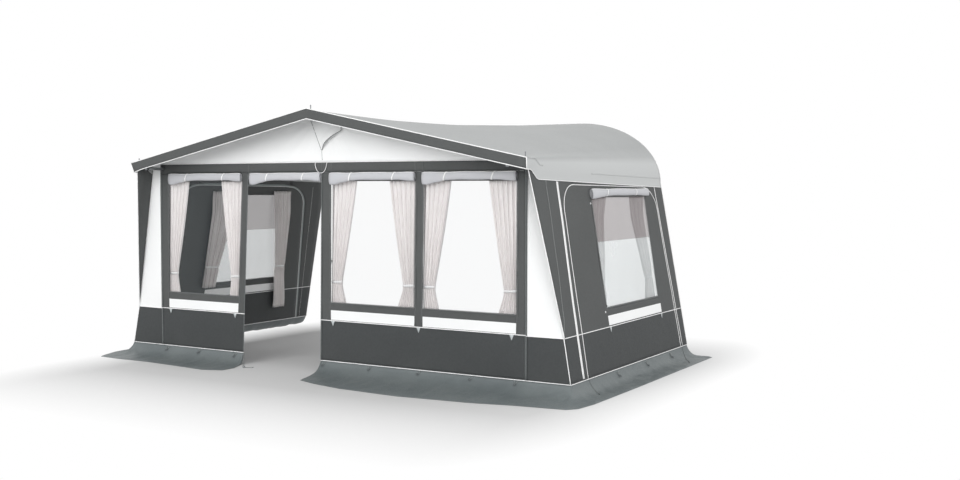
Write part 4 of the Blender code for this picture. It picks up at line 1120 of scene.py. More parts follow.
@dataclass
class Roll:
    """A blind or a door rolled up, from all the cloth that it lets down, with its two ties."""

    name: str
    start: float
    end: float
    top: float
    height: float
    cloth: float
    side: Optional[Side] = None
    droop: float = 0.030
    rests: str = "header_cloth"
    node: str = ""
    depth: float = 0.036
    flat: float = 0.96
    core: float = 0.34
    top_turn: float = math.radians(60)
    gauge: float = 0.0006
    shares: tuple[float, ...] = (0.0, 0.03, 0.18, 0.25, 0.45, 0.60, 0.76, 0.82, 0.97, 1.0)
    talls: tuple[float, ...] = (0.80, 1.0, 0.84, 0.78, 0.88, 0.90, 0.78, 0.84, 0.95, 0.80)
    falls: tuple[float, ...] = (0.90, 1.0, 0.50, 0.12, 0.0, 0.05, 0.0, 0.0, 0.25, 0.22)

    def place(self, along: float, depth: float, z: float) -> Vector:
        """A spot that stands off the wall's outer face."""
        return PLAN.on_wall(self.side, along, z, CLOTH + depth)

    def envelope(self, share: float) -> Pair:
        """Heights of the roll's lowest and highest point at a share of its width."""
        place, after = between(self.shares, share)
        tall, fall = (mix(*row[place : place + 2], smooth(after)) for row in (self.talls, self.falls))
        return self.top - self.height - self.droop * fall, self.top - self.height * (1 - tall) * 0.4

    def oval(self, share: float, turn: float, size: float) -> Pair:
        """A spot on one of the roll's ovals.

        Args:
            share: The oval's place along the roll, from 0 to 1.
            turn: The angle round it.
            size: Its size beside the outermost one's.

        Returns:
            The depth and the height.
        """
        low, high = self.envelope(min(max(share, 0.0), 1.0))
        crumple = 1 + 0.05 * noise.noise(Vector((share * 9, math.cos(turn) * 1.4, math.sin(turn) * 1.4)))
        depth = self.depth / 2 * (1 + size * self.flat * crumple * math.cos(turn))
        return depth, (low + high) / 2 + (high - low) / 2 * size * crumple * math.sin(turn)

    def round_it(self, share: float) -> float:
        """The way round the roll's outer oval at a share of its width."""
        low, high = self.envelope(share)
        half, flat = (high - low) / 2, self.depth / 2 * self.flat
        return math.pi * (3 * (half + flat) - math.sqrt((3 * half + flat) * (half + 3 * flat)))

    @property
    def turns(self) -> float:
        """How often the cloth goes round."""
        return self.cloth / (self.round_it(0.45) * (1 + self.core) / 2)

    def spot(self, u: float, v: float) -> Vector:
        """A spot of the cloth: u along the roll, v from its loose edge inwards."""
        share = min(max((u - self.start) / (self.end - self.start), 0.0), 1.0)
        core = min(max(2 * self.cloth / (self.round_it(share) * self.turns) - 1, 0.04), 0.5)
        wound = (1 - math.sqrt(max(1 - (1 - core * core) * v / self.cloth, core * core))) / (1 - core)
        turn = self.top_turn - 2 * math.pi * self.turns * wound
        return self.place(u, *self.oval(share, turn, mix(1.0, core, wound)))

    def build(self) -> None:
        """Builds the roll, its hem and its ties."""
        steps = math.ceil(16 * self.turns)
        winds = [step / steps for step in range(steps + 1)]
        lets = [self.cloth * (2 * wind - (1 - self.core) * wind**2) / (1 + self.core) for wind in winds]
        across, normal = sorted(stations((self.start, self.end), 0.027)), PLAN.facing(self.side)
        piece = sheet(self.name, across, lets, self.spot, normal, "blind cloth", gauge=self.gauge)
        trim = [self.build_tie(number, share) for number, share in enumerate((0.25, 0.76))]
        line = [self.spot(u, 0.0) + normal * 0.0008 for u in across]
        trim.append(tube(self.name + "_hem", line, 0.0024, "white piping"))
        declare(piece, Hold.FOLDED, self.rests, self.node, trim)

    def build_tie(self, number: int, share: float) -> Piece:
        """A white tape tied round the roll.

        Args:
            number: Its number, from 0.
            share: Its place along the roll.

        Returns:
            The tape.
        """
        middle, lean = mix(self.start, self.end, share), math.copysign(0.014, self.end - self.start)
        line = []
        for step in range(29):
            turn = math.radians(112 - 224 * step / 28)
            depth, z = self.oval(share, turn, 1.04)
            line.append(Vector((middle + lean * math.sin(turn), depth + 0.0014, z)))

        def spot(place: int, across: float) -> Vector:
            """A spot of the tape."""
            return self.place(line[place].x + across, max(line[place].y, 0.0008), line[place].z)

        name = f"{self.name}_tie_{number + 1}"
        return strip(name, line, 0.007, spot, PLAN.facing(self.side), 0.001, "white piping")


@dataclass
class FrontWall:
    """The front wall: two panels with three windows, four rolled blinds, tabs, zips and seams."""

    edge: float = PLAN.zip_x - HALF_GAP
    pane_foot: float = 0.668
    pane_top: float = 1.80
    sill_foot: float = 0.595
    strip_foot: float = 0.505
    blind_cloth: float = 1.17
    door_cloth: float = 1.77
    foot_cord: tuple[Triple, ...] = (
        (-1.010, -1.083, 0.104), (-1.004, -1.096, 0.070), (-0.999, -1.104, 0.030), (-0.985, -1.118, 0.005),
        (-0.940, -1.168, 0.002), (-0.870, -1.236, 0.002), (-0.830, -1.246, 0.002), (-0.775, -1.218, 0.002),
    )
    hook: Triple = (-0.862, -1.252, 0.0092)
    hook_axis: Triple = (0.2, -0.3, 1.0)
    tabs: tuple[float, ...] = (-2.012, -1.130, 0.092, 1.052, 2.000)
    door_left: Upright = Upright(-1.026, -0.940, 0.11, 1.884)
    door_right: Upright = Upright(-0.059, -0.035, 0.11, 1.884)
    panes: tuple[tuple[str, Upright, Upright], ...] = (
        ("left", Upright(-2.036, -2.026), Upright(-1.083, -1.021)),
        ("middle", Upright(0.066, 0.074), Upright(1.006, 1.022)),
        ("right", Upright(1.094, 1.106), Upright(2.042, 2.052)),
    )

    def build(self) -> None:
        """Builds the front wall."""
        left, middle, right = self.panes
        self.build_panel("left", [Upright(-self.edge, -self.edge), *left[1:], self.door_left])
        self.build_panel("right", [self.door_right, *middle[1:], *right[1:], Upright(self.edge, self.edge)])
        for pane in self.panes:
            self.build_pane(*pane)
        for side in Side:
            x = side.value * PLAN.zip_x
            self.build_zip("corner_zip_" + side.word, Upright(x, x), PLAN.header_top - 0.01, 0.022)
        self.build_zip("door_zip_left", self.door_left, PLAN.header_foot, 0.012, -0.006)
        self.build_zip("door_zip_right", self.door_right, PLAN.header_foot, 0.012, 0.006)
        self.build_roll("blind_left", left[1].top_x + 0.026, left[2].top_x - 0.002, self.blind_cloth)
        self.build_roll("blind_middle", middle[1].top_x, middle[2].top_x, self.blind_cloth)
        self.build_roll("blind_right", right[1].top_x, right[2].top_x, self.blind_cloth)
        self.build_roll("rolled_door", -0.904, -0.0355, self.door_cloth, "door_roll")
        line = curved([Vector(point) for point in self.foot_cord], 0.013)
        free_cord("door_foot_cord", line, 0.002, "dark cord")
        ring("door_foot_hook", Vector(self.hook), Vector(self.hook_axis), 0.011, 0.004, "rubber strap")
        for number, x in enumerate(self.tabs):
            tab(f"strip_tab_{number + 1}", None, x, PLAN.band - 0.002, 0.0052)

    def build_roll(self, name: str, start: float, end: float, cloth: float, node: str = "") -> None:
        """A roll over the wall, between two places along it."""
        Roll(name, start, end, 1.886, 0.076, cloth, droop=0.047, node=node).build()

    def build_panel(self, word: str, edges: list[Upright]) -> None:
        """One panel of the wall, in its three colours.

        Args:
            word: Which of the two.
            edges: Its upright edges and those of its windows, from left to right.
        """
        name = "front_cloth_" + word
        marks = [edge.top_x for edge in edges]
        windows = list(zip(edges[1:-1:2], edges[2:-1:2]))

        def slanted(u: float, z: float) -> float:
            """The x of a spot whose x at the windows' top is u."""
            place, share = between(marks, u)
            return mix(edges[place].x(z), edges[place + 1].x(z), share)

        def spot(u: float, v: float) -> Vector:
            """A spot of the panel."""
            x = slanted(u, v)
            taut = smooth((v - PLAN.foot) * 12) * smooth((PLAN.header_foot - v) * 12)
            return PLAN.at(x, PLAN.front + ripple(Vector((x * 0.6, 0, v)), 0.22, 0.0035, 6.0) * taut, v)

        def at_window(u: float, v: float, low: float, high: float) -> bool:
            """Whether a spot lies between two heights, and under, in or over a window."""
            return low < v < high and any(left.top_x < u < right.top_x for left, right in windows)

        heights = (
            PLAN.foot, PLAN.band, self.strip_foot, self.sill_foot, self.pane_foot, self.pane_top,
            PLAN.header_foot - HALF_GAP,
        )
        piece = sheet(
            name, stations(marks, 0.035), stations(heights, 0.035), spot, AHEAD, *WALL_LOOKS,
            hole=lambda u, v: at_window(u, v, self.pane_foot, self.pane_top),
            zone=lambda u, v: 1 if v < PLAN.band else 2 * at_window(u, v, self.strip_foot, self.sill_foot),
        )
        trim = []
        for part, z in (("band", PLAN.band), ("foot", PLAN.foot + 0.003)):
            line = [PLAN.at(slanted(u, z), PLAN.front + 0.0022, z) for u in stations(marks, 0.1)]
            trim.append(tube(f"{name}_{part}_piping", line, WELT, "white piping"))
        for left, right in windows:
            trim += self.build_window_trim(f"{name}_{len(trim)}", left, right)
        declare(piece, Hold.STRETCHED, "header_cloth", "front_panel_" + word, trim)

    def build_window_trim(self, name: str, left: Upright, right: Upright) -> list[Piece]:
        """The stitched hem round a window and the toothed zip along its sides and sill.

        Args:
            name: The start of the pieces' names.
            left: The window's left edge.
            right: Its right edge.

        Returns:
            The pieces.
        """
        out, low, high = PLAN.front + SEWN, self.pane_foot, self.pane_top
        lines = {
            word: [PLAN.at(edge.x(z) + shift, out, z) for z in stations((PLAN.band, PLAN.header_foot), 0.05)]
            for word, edge, shift in (("seam_left", left, -0.009), ("seam_right", right, 0.009))
        }
        lines["sill_seam"] = [PLAN.at(x, out, low - 0.008) for x in stations((left.x(low), right.x(low)), 0.05)]
        made = [seam(f"{name}_{word}", line, AHEAD) for word, line in lines.items()]
        corners = (
            (left.x(high) + 0.004, high), (left.x(low) + 0.004, low + 0.003), (right.x(low) - 0.004, low + 0.003),
            (right.x(high) - 0.004, high),
        )
        line = [PLAN.at(x, out, z) for x, z in corners]
        return [*made, zip_teeth(name + "_window_zip", line, AHEAD, 0.0004, pitch=0.012)]

    def build_pane(self, name: str, left: Upright, right: Upright) -> None:
        """One clear window, of foil that waves a little.

        Args:
            name: Which of the three.
            left: Its left edge.
            right: Its right edge.
        """
        inset, low, high = 0.0004, self.pane_foot, self.pane_top

        def spot(u: float, v: float) -> Vector:
            """A spot of the foil."""
            share = (u - left.top_x) / (right.top_x - left.top_x)
            x = mix(left.x(v) + inset, right.x(v) - inset, share)
            loose = math.sin(math.pi * min(max(share, 0.0), 1.0)) * math.sin(math.pi * (v - low) / (high - low))
            return PLAN.at(x, PLAN.front + loose * ripple(Vector((x, 0, v)), 0.35, 0.007, 4.0), v)

        across, ups = stations((left.top_x, right.top_x), 0.05), stations((low + inset, high - inset), 0.05)
        piece = sheet("window_foil_" + name, across, ups, spot, AHEAD, "window foil", gauge=FOIL)
        declare(piece, Hold.STRETCHED, "front_cloth_right", "window_" + name)

    def build_zip(self, name: str, edge: Upright, top: float, width: float, shift: float = 0.0) -> None:
        """A zip along an upright edge: whole between two cloths, or the half left at an open side.

        Args:
            name: The piece's name.
            edge: The edge.
            top: Its upper end.
            width: The tape's width.
            shift: How far the tape's middle lies beside the teeth.
        """
        out = PLAN.front + 0.0018
        line = [PLAN.at(edge.x(z), out, z) for z in stations((PLAN.foot + 0.004, top), 0.06)]
        ribbon(name, [point + Vector((shift, 0, 0)) for point in line], AHEAD, width, 0.0001, "zip tape")
        zip_teeth(name + "_teeth", line, AHEAD, 0.0014)


@dataclass
class SideWall:
    """One side: the corner's wedge, the wall, the panel that zips out, its window and its blind."""

    side: Side
    rear: float = 0.0073
    front_foot: float = 2.463
    front_shoulder: float = 2.406
    rear_foot: float = 0.190
    rear_shoulder: float = 0.228
    shoulder_z: float = 1.515
    arch_z: float = 1.768
    arch_fall: float = 0.020
    arch_outs: Pair = (0.384, 2.146)
    rounding: float = 0.260
    rear_rounding: float = 0.300
    crown: float = 1.900
    lap: float = 0.055
    tuck: float = 0.0025
    pane_foot: float = 0.660
    pane_top: float = 1.660
    pane_front: Pair = (1.850, 1.800)
    pane_rear: Pair = (0.590, 0.520)
    tint_z: float = 1.25
    strip_foot: float = 0.505
    sill_foot: float = 0.590
    band: float = 0.492
    piping: float = 0.0040
    marks: tuple[float, ...] = (0.0073, 0.228, 0.55, 1.82, 2.406, 2.80)
    tabs: Pair = (0.576, 1.839)
    stitches: tuple[tuple[float, ...], ...] = (
        (0.492, 0.642, 1.054, 1.303, 1.730, 1.840), (2.787, 2.740, 2.703, 2.689, 2.668, 2.664),
    )
    front_zip: tuple[Triple, Triple] = ((0.129, 0.501, 1.795), (2.544, 2.536, 2.454))
    rear_zip: tuple[Pair, Pair] = ((0.122, 1.747), (0.144, 0.214))
    eyelets: tuple[tuple[float, float, str], ...] = (
        (1.838, 1.599, "white piping"), (1.845, 0.678, "black plastic"), (1.893, 0.627, "white piping"),
    )

    def build(self) -> None:
        """Builds the side."""
        self.build_wedge()
        self.build_wall()
        self.build_panel()
        self.build_pane()
        self.build_zips()
        rests = self.named("side_panel_cloth")
        Roll(self.named("side_blind"), 1.825, 0.450, 1.735, 0.070, 1.06, self.side, rests=rests).build()
        for number, out in enumerate(self.tabs):
            tab(self.named(f"side_tab_{number + 1}"), self.side, out, self.band - 0.002, 0.0050)

    def named(self, stem: str) -> str:
        """A piece's or a node's name on this side."""
        return f"{stem}_{self.side.word}"

    @property
    def outward(self) -> Vector:
        """The direction out of this side."""
        return PLAN.facing(self.side)

    def place(self, out: float, z: float, stand: float = 0.0) -> Vector:
        """A spot on this side."""
        return PLAN.on_wall(self.side, out, z, stand)

    def sewn(self, out: float, z: float, stand: float = 0.0) -> Vector:
        """A spot of the slack cloth, or one that stands off it."""
        return self.place(out, z, stand + self.slack(out, z))

    def arch(self, v: float, front: bool) -> float:
        """The panel's edge at a height of the grid."""
        foot, shoulder = (self.front_foot, self.front_shoulder) if front else (self.rear_foot, self.rear_shoulder)
        if v <= self.shoulder_z:
            return mix(foot, shoulder, (v - PLAN.foot) / (self.shoulder_z - PLAN.foot))
        share = min((v - self.shoulder_z) / (self.arch_z - self.shoulder_z), 1.0)
        inwards = 1 - math.sqrt(1 - share * share)
        return shoulder - self.rounding * inwards if front else shoulder + self.rear_rounding * inwards

    def pane_edge(self, v: float, front: bool) -> float:
        """The window's edge at a height of the grid, carried on above and below it."""
        share = (v - self.pane_foot) / (self.pane_top - self.pane_foot)
        if front:
            return min(mix(*self.pane_front, share), self.arch(v, True) - 0.03)
        return max(mix(*self.pane_rear, share), self.arch(v, False) + 0.03)

    def front_edge(self, v: float) -> float:
        """The wall's front edge at a height of the grid."""
        if v < self.band:
            return mix(2.801, PLAN.corner_out, (v - PLAN.foot) / (self.band - PLAN.foot))
        top = PLAN.flap_canopy_z + self.lap
        z = v if v < self.arch_z else mix(self.arch_z, top, (v - self.arch_z) / (self.crown - self.arch_z))
        return mix(PLAN.corner_out, PLAN.tip(self.side), (z - self.band) / (top - self.band))

    def out_at(self, u: float, v: float) -> float:
        """Distance out of a spot of the grid, which has six upright lines."""
        lines = (
            self.rear, self.arch(v, False), self.pane_edge(v, False), self.pane_edge(v, True), self.arch(v, True),
            self.front_edge(v),
        )
        place, share = between(self.marks, u)
        return mix(*lines[place : place + 2], share)

    def z_at(self, out: float, v: float) -> float:
        """Height of a spot of the grid: the arch falls a little towards the rear."""
        rear, front = self.arch_outs
        fall = self.arch_fall * min(max((front - out) / (front - rear), 0.0), 1.0)
        if v <= self.shoulder_z:
            return v
        if v <= self.arch_z:
            return v - fall * (v - self.shoulder_z) / (self.arch_z - self.shoulder_z)
        over = (v - self.arch_z) / (self.crown - self.arch_z)
        return mix(self.arch_z - fall, PLAN.flap_foot(out) + self.lap, over)

    def slack(self, out: float, z: float) -> float:
        """How far the loose cloth stands off its plane."""
        top = PLAN.flap_foot(out) + self.lap
        taut = smooth((z - PLAN.foot) * 10) * smooth((top - z) * 8) * smooth(out * 5)
        taut *= smooth((PLAN.tip(self.side) - 0.03 - out) * 6)
        return taut * ripple(Vector((out * 0.7, self.side.value, z)), 0.3, 0.0035, 7.0)

    def spot(self, u: float, v: float) -> Vector:
        """A spot of the cloth with its slack."""
        out = self.out_at(u, v)
        return self.sewn(out, self.z_at(out, v))

    def heights(self, top: float) -> list[float]:
        """The rows of the grid up to a height."""
        rows = stations((PLAN.foot, self.band, self.strip_foot, self.sill_foot, self.pane_foot), 0.04)
        rows += stations((self.pane_foot, self.shoulder_z), 0.045)[1:]
        rise = self.arch_z - self.shoulder_z
        rows += [self.shoulder_z + rise * math.sin(math.pi / 2 * step / 10) for step in range(1, 11)]
        rows = [row for row in rows if abs(row - self.pane_top) > 0.006] + [self.pane_top]
        rows += stations((self.arch_z, self.crown), 0.035)[1:]
        return sorted(row for row in rows if row <= top + 1e-6)

    def welt(self, name: str, line: Sequence[Vector]) -> Piece:
        """A white piping of this side."""
        return tube(self.named(name), line, self.piping, "white piping")

    def build_wedge(self) -> None:
        """The white wedge between the corner zip and the side, over its piece of the band."""
        seam_out, seam_top = PLAN.seams[self.side is Side.RIGHT], PLAN.canopy_z
        for _ in range(6):
            seam_top = PLAN.roof_z(PLAN.side_x(seam_out, seam_top) - self.tuck, seam_out) - UNDER_ROOF

        def outer(v: float) -> tuple[float, float, float, float]:
            """The seam's distance out, half width and height, and the zip's height, at a share down."""
            if v <= 1:
                out = mix(seam_out, PLAN.corner_out, v)
                seam_z, zip_z = mix(seam_top, self.band, v), mix(PLAN.header_top, self.band, v)
            else:
                out = mix(PLAN.corner_out, PLAN.front, v - 1)
                seam_z = zip_z = mix(self.band, PLAN.foot, v - 1)
            return out, PLAN.side_x(out, seam_z) - self.tuck, seam_z, zip_z

        def spot(u: float, v: float) -> Vector:
            """A spot of the wedge: u across and v down, as shares."""
            out, x, z, zip_z = outer(v)
            across, away, height = mix(PLAN.zip_x + HALF_GAP, x, u), mix(PLAN.front, out, u), mix(zip_z, z, u)
            if v < 0.2:
                _, _, start_z, start_zip = outer(0.0)
                height += (PLAN.roof_z(across, away) - UNDER_ROOF - mix(start_zip, start_z, u)) * (1 - v * 5)
            loose = math.sin(math.pi * u) * math.sin(math.pi * min(v, 1.0))
            away += loose * ripple(Vector((across, self.side.value, height)), 0.25, 0.006, 2.2)
            return PLAN.at(self.side.value * across, away, height)

        corner = Vector((self.side.value, -1, 0))
        piece = sheet(
            self.named("corner_wedge"), stations((0.0, 1.0), 0.08), stations((0.0, 0.2, 1.0, 2.0), 0.05), spot,
            corner, "white cloth", "band cloth", zone=lambda u, v: int(v > 1),
        )
        tenths = stations((0.0, 1.0), 0.1)
        lines = {
            "upright": [spot(0.995, v) + corner * CLOTH for v in stations((1.0, 2.0), 0.1)],
            "band": [spot(u, 1.0) + AHEAD * 0.002 for u in tenths],
            "foot": [spot(u, 2.0) + Vector((0, -0.002, 0.003)) for u in tenths],
        }
        trim = [self.welt(f"corner_{word}_piping", line) for word, line in lines.items()]
        declare(piece, Hold.STRETCHED, self.named("side_cloth"), self.named("corner_panel"), trim)

    def build_wall(self) -> None:
        """The fixed wall round the panel, sewn from a front, a top and a rear length of cloth."""
        rows = self.heights(self.crown)
        parts = (
            ("side_cloth", self.marks[4:], rows),
            ("side_top_cloth", self.marks[1:5], [row for row in rows if row >= self.arch_z - 1e-6]),
            ("side_rear_cloth", self.marks[:2], rows),
        )
        pieces = [
            sheet(
                self.named(name), stations(marks, 0.045), ups, self.spot, self.outward, *WALL_LOOKS[:2],
                zone=lambda u, v: int(v < self.band),
            )
            for name, marks, ups in parts
        ]
        trim = [self.welt("tip_piping", [self.spot(self.marks[5], v) for v in rows if v >= self.band])]
        for part, z in (("band", self.band), ("foot", PLAN.foot + 0.003)):
            line = [self.spot(u, z) + self.outward * CLOTH for u in stations((self.marks[0], self.marks[5]), 0.1)]
            trim.append(self.welt(part + "_piping_side", line))
        line = self.through(*self.stitches, 0.001)
        trim.append(ribbon(self.named("corner_seam"), line, self.outward, 0.009, FLUSH, "corner seam"))
        for piece, sewn in zip(pieces, (trim, (), ())):
            declare(piece, Hold.STRETCHED, "roof_sheet", self.named("side_wall"), sewn)

    def arch_line(self, grow: float = 0.0, stand: float = 0.0) -> list[Vector]:
        """The panel's outline from its front foot over the arch to its rear foot.

        Args:
            grow: How far it lies outside the panel's edge.
            stand: How far it stands off the cloth.

        Returns:
            Its points.
        """
        rows = [row for row in self.heights(self.arch_z) if row <= self.arch_z]
        front, rear = (
            [(self.arch(v, way) + shift, self.z_at(self.arch(v, way), v)) for v in rows]
            for way, shift in ((True, grow), (False, -grow))
        )
        outs = stations((self.arch(self.arch_z, True), self.arch(self.arch_z, False)), 0.1)[1:-1]
        crown = [(out, self.z_at(out, self.arch_z) + grow) for out in outs]
        return [self.sewn(out, z, stand) for out, z in (*front, *crown, *reversed(rear))]

    def build_panel(self) -> None:
        """The round-topped panel with its window, in its three colours."""
        low, high = self.marks[2], self.marks[3]

        def zone(u: float, v: float) -> int:
            """0 for the wall, 1 for the band and 2 for the white strip."""
            if v < self.band:
                return 1
            return 2 if self.strip_foot < v < self.sill_foot and low - 0.046 < u < high else 0

        piece = sheet(
            self.named("side_panel_cloth"), stations(self.marks[1:5], 0.045), self.heights(self.arch_z), self.spot,
            self.outward, *WALL_LOOKS, zone=zone,
            hole=lambda u, v: low < u < high and self.pane_foot < v < self.pane_top,
        )
        trim = [self.welt("arch_piping", self.arch_line(stand=0.002))]
        for name, grow, facing, width, look in (
            ("arch_seam", 0.034, self.outward, 0.009, "wall seam"),
            ("arch_tape", 0.012, -self.outward, 0.024, "arch tape"),
        ):
            trim.append(ribbon(self.named(name), self.arch_line(grow), facing, width, 0.0012, look))
        corners, foot, top = [], self.pane_foot, self.pane_top
        for z, front in ((top, True), (foot, True), (foot, False), (top, False)):
            corners.append((self.pane_edge(z, front), z, 0.012 if front else -0.012))
        line = [self.place(out, z, SEWN) for out, z, _ in corners]
        trim.append(zip_teeth(self.named("window_zip"), line, self.outward, 0.0004, pitch=0.014))
        line = spaced([self.place(out + shift, z, 0.0012) for out, z, shift in corners], 0.06)
        trim.append(seam(self.named("window_seam"), line, self.outward))
        declare(piece, Hold.STRETCHED, self.named("side_cloth"), self.named("side_panel"), trim)

    def build_pane(self) -> None:
        """The side window: clear below, and tinted above the height of the eyes."""
        low, high = self.marks[2], self.marks[3]

        def spot(u: float, v: float) -> Vector:
            """A spot of the foil."""
            out, up = self.out_at(u, v), (v - self.pane_foot) / (self.pane_top - self.pane_foot)
            loose = math.sin(math.pi * (u - low) / (high - low)) * math.sin(math.pi * up)
            return self.place(out, v, loose * ripple(Vector((out, self.side.value, v)), 0.35, 0.007, 4.4))

        rows = [row for row in self.heights(self.pane_top) if row >= self.pane_foot and abs(row - self.tint_z) > 0.01]
        piece = sheet(
            self.named("side_foil"), stations((low, high), 0.05), sorted([*rows, self.tint_z]), spot, self.outward,
            "milky foil", "tinted foil", gauge=FOIL, zone=lambda u, v: int(v > self.tint_z),
        )
        declare(piece, Hold.STRETCHED, self.named("side_panel_cloth"), self.named("side_window"))

    def build_zips(self) -> None:
        """The thick white zip in front of the panel, the thin one behind it, and the eyelets."""
        line = self.through(*self.front_zip, 0.0014)
        ribbon(self.named("front_zip"), line, self.outward, 0.036, 0.0004, "white zip tape")
        zip_teeth(self.named("front_zip_teeth"), line, self.outward, 0.0018, "white zip teeth")
        self.welt("rear_zip", self.through(*self.rear_zip, 0.003))
        for number, (out, z, look) in enumerate(self.eyelets):
            name = self.named(f"side_eyelet_{number + 1}")
            ring(name, self.place(out, z, SEWN), self.outward, 0.0065, 0.0028, look)

    def through(self, heights: Sequence[float], outs: Sequence[float], stand: float) -> list[Vector]:
        """A line on the slack cloth.

        Args:
            heights: The heights that it passes.
            outs: Its distance out at each.
            stand: How far it stands off the cloth.

        Returns:
            Its points.
        """
        line = []
        for z in stations(heights, 0.05):
            place, share = between(heights, z)
            line.append(self.sewn(mix(*outs[place : place + 2], share), z, stand))
        return line


@dataclass(frozen=True)
class Drape:
    """One curtain: its edges at the top, the tie and the hem, and the node that it replaces.

    Its cloth has one cut width, and its folds deepen where it is drawn together.
    """

    node: str
    top: Pair
    tie: Pair
    hem: Pair
    side: Optional[Side] = None
    tie_z: float = 0.860
    hem_z: float = 0.630
    rail_z: float = 1.8537
    side_z: float = 1.700
    bulk: float = 0.030
    behind: float = 0.0185
    front: float = 2.765
    fullness: float = 1.45
    folds: int = 6
    deepest: float = 0.024
    gauge: float = 0.0008

    @property
    def top_z(self) -> float:
        """Height of its upper edge."""
        return self.side_z if self.side else self.rail_z

    @property
    def stand(self) -> float:
        """How far its middle hangs away from the wall below its upper edge."""
        return self.bulk if self.side else 0.0

    @property
    def cut(self) -> float:
        """The cloth's width."""
        return (self.top[1] - self.top[0]) * self.fullness

    def place(self, along: float, depth: float, z: float) -> Vector:
        """A spot behind the front wall or behind a side."""
        if self.side is None:
            return PLAN.at(along, self.front - depth, z)
        return PLAN.on_wall(self.side, along, z, -self.behind - depth)

    def edges(self, z: float) -> Pair:
        """The curtain's two edges at a height."""
        if z >= self.tie_z:
            ends, share = (self.top, self.tie), ((self.top_z - z) / (self.top_z - self.tie_z)) ** 1.15
        else:
            ends, share = (self.tie, self.hem), smooth((self.tie_z - z) / (self.tie_z - self.hem_z))
        return tuple(mix(*pair, share) for pair in zip(*ends))

    def deep(self, z: float) -> float:
        """How deep the folds are at a height, where the cut width takes up all of them."""
        start, end = self.edges(z)
        waves = [math.sin(2 * math.pi * step / 48) for step in range(49)]
        along, steps = (end - start) / self.folds / 48, list(zip(waves, waves[1:]))

        def short(depth: float) -> bool:
            """Whether folds of this depth take up less than the cut width."""
            return sum(math.hypot(along, depth * (after - wave)) for wave, after in steps) * self.folds < self.cut

        return search(0.0, self.deepest, short)

    def build(self) -> None:
        """Builds the curtain with its tie."""
        top, tie_z, seed = self.top_z, self.tie_z, self.top[0]
        rows = stations((top, tie_z + 0.02, tie_z, tie_z - 0.03, self.hem_z), 0.03)
        depth_at = {z: self.deep(z) for z in rows}

        def spot(u: float, v: float) -> Vector:
            """A spot of the curtain: u across the cut cloth, v its height."""
            share = u / self.cut
            turn = 2 * math.pi * self.folds * share + 0.6 * noise.noise(Vector((seed * 7, share * 5, v)))
            lively = 1 + 0.18 * noise.noise(Vector((share * 8, v * 2.2, seed * 5)))
            off = smooth((top - v) / (top - tie_z) * 3)
            wander = 0.006 * noise.noise(Vector((share * 4, v * 3, 4.0))) * smooth((top - v) * 8)
            hold = 1 - 0.35 * math.exp(-(((v - tie_z) / 0.02) ** 2))
            along = mix(*self.edges(v), share) + wander * math.sin(math.pi * share)
            return self.place(along, depth_at[v] * lively * hold * math.sin(turn) + self.stand * off, v)

        facing = PLAN.facing(self.side)
        across = stations((0.0, self.cut), self.cut / (self.folds * 14))
        piece = sheet(self.node + "_cloth", across, rows, spot, facing, "curtain cloth", gauge=self.gauge)
        start, end = self.edges(tie_z)
        middle, half, deep = (start + end) / 2, (end - start) / 2 + 0.004, max(depth_at[tie_z] * 0.75, 0.009) + 0.002
        turns = [2 * math.pi * step / 32 for step in range(33)]
        line = [Vector((middle + half * math.cos(turn), self.stand + deep * math.sin(turn), 0.0)) for turn in turns]

        def tape(place: int, up: float) -> Vector:
            """A spot of the tie, which slants a little."""
            return self.place(line[place].x, line[place].y, tie_z + up + 0.05 * (line[place].x - middle))

        tie = strip(self.node + "_tie", line, 0.011, tape, facing, 0.001, "white tape")
        rests = "side_panel_cloth_" + self.side.word if self.side else "curtain_rail"
        declare(piece, Hold.GATHERED, rests, self.node, [tie])


DRAPES = (
    Drape("curtain_front_1", (-2.055, -1.762), (-2.055, -1.938), (-2.060, -1.905)),
    Drape("curtain_front_2", (-1.333, -1.040), (-1.214, -1.092), (-1.235, -1.095)),
    Drape("curtain_front_3", (0.065, 0.358), (0.056, 0.178), (0.050, 0.222)),
    Drape("curtain_front_4", (0.711, 1.006), (0.860, 0.986), (0.800, 0.990)),
    Drape("curtain_front_5", (1.083, 1.380), (1.078, 1.206), (1.082, 1.246)),
    Drape("curtain_front_6", (1.751, 2.040), (1.904, 2.036), (1.846, 2.040)),
    Drape("curtain_right_front", (1.420, 1.800), (1.710, 1.930), (1.750, 1.945), Side.RIGHT),
    Drape("curtain_right_rear", (0.490, 0.880), (0.560, 0.700), (0.550, 0.790), Side.RIGHT),
    Drape("curtain_left_front", (1.560, 1.930), (1.740, 1.940), (1.760, 1.945), Side.LEFT),
    Drape("curtain_left_rear", (0.640, 0.940), (0.620, 0.780), (0.530, 0.720), Side.LEFT, 0.810, 0.300),
)


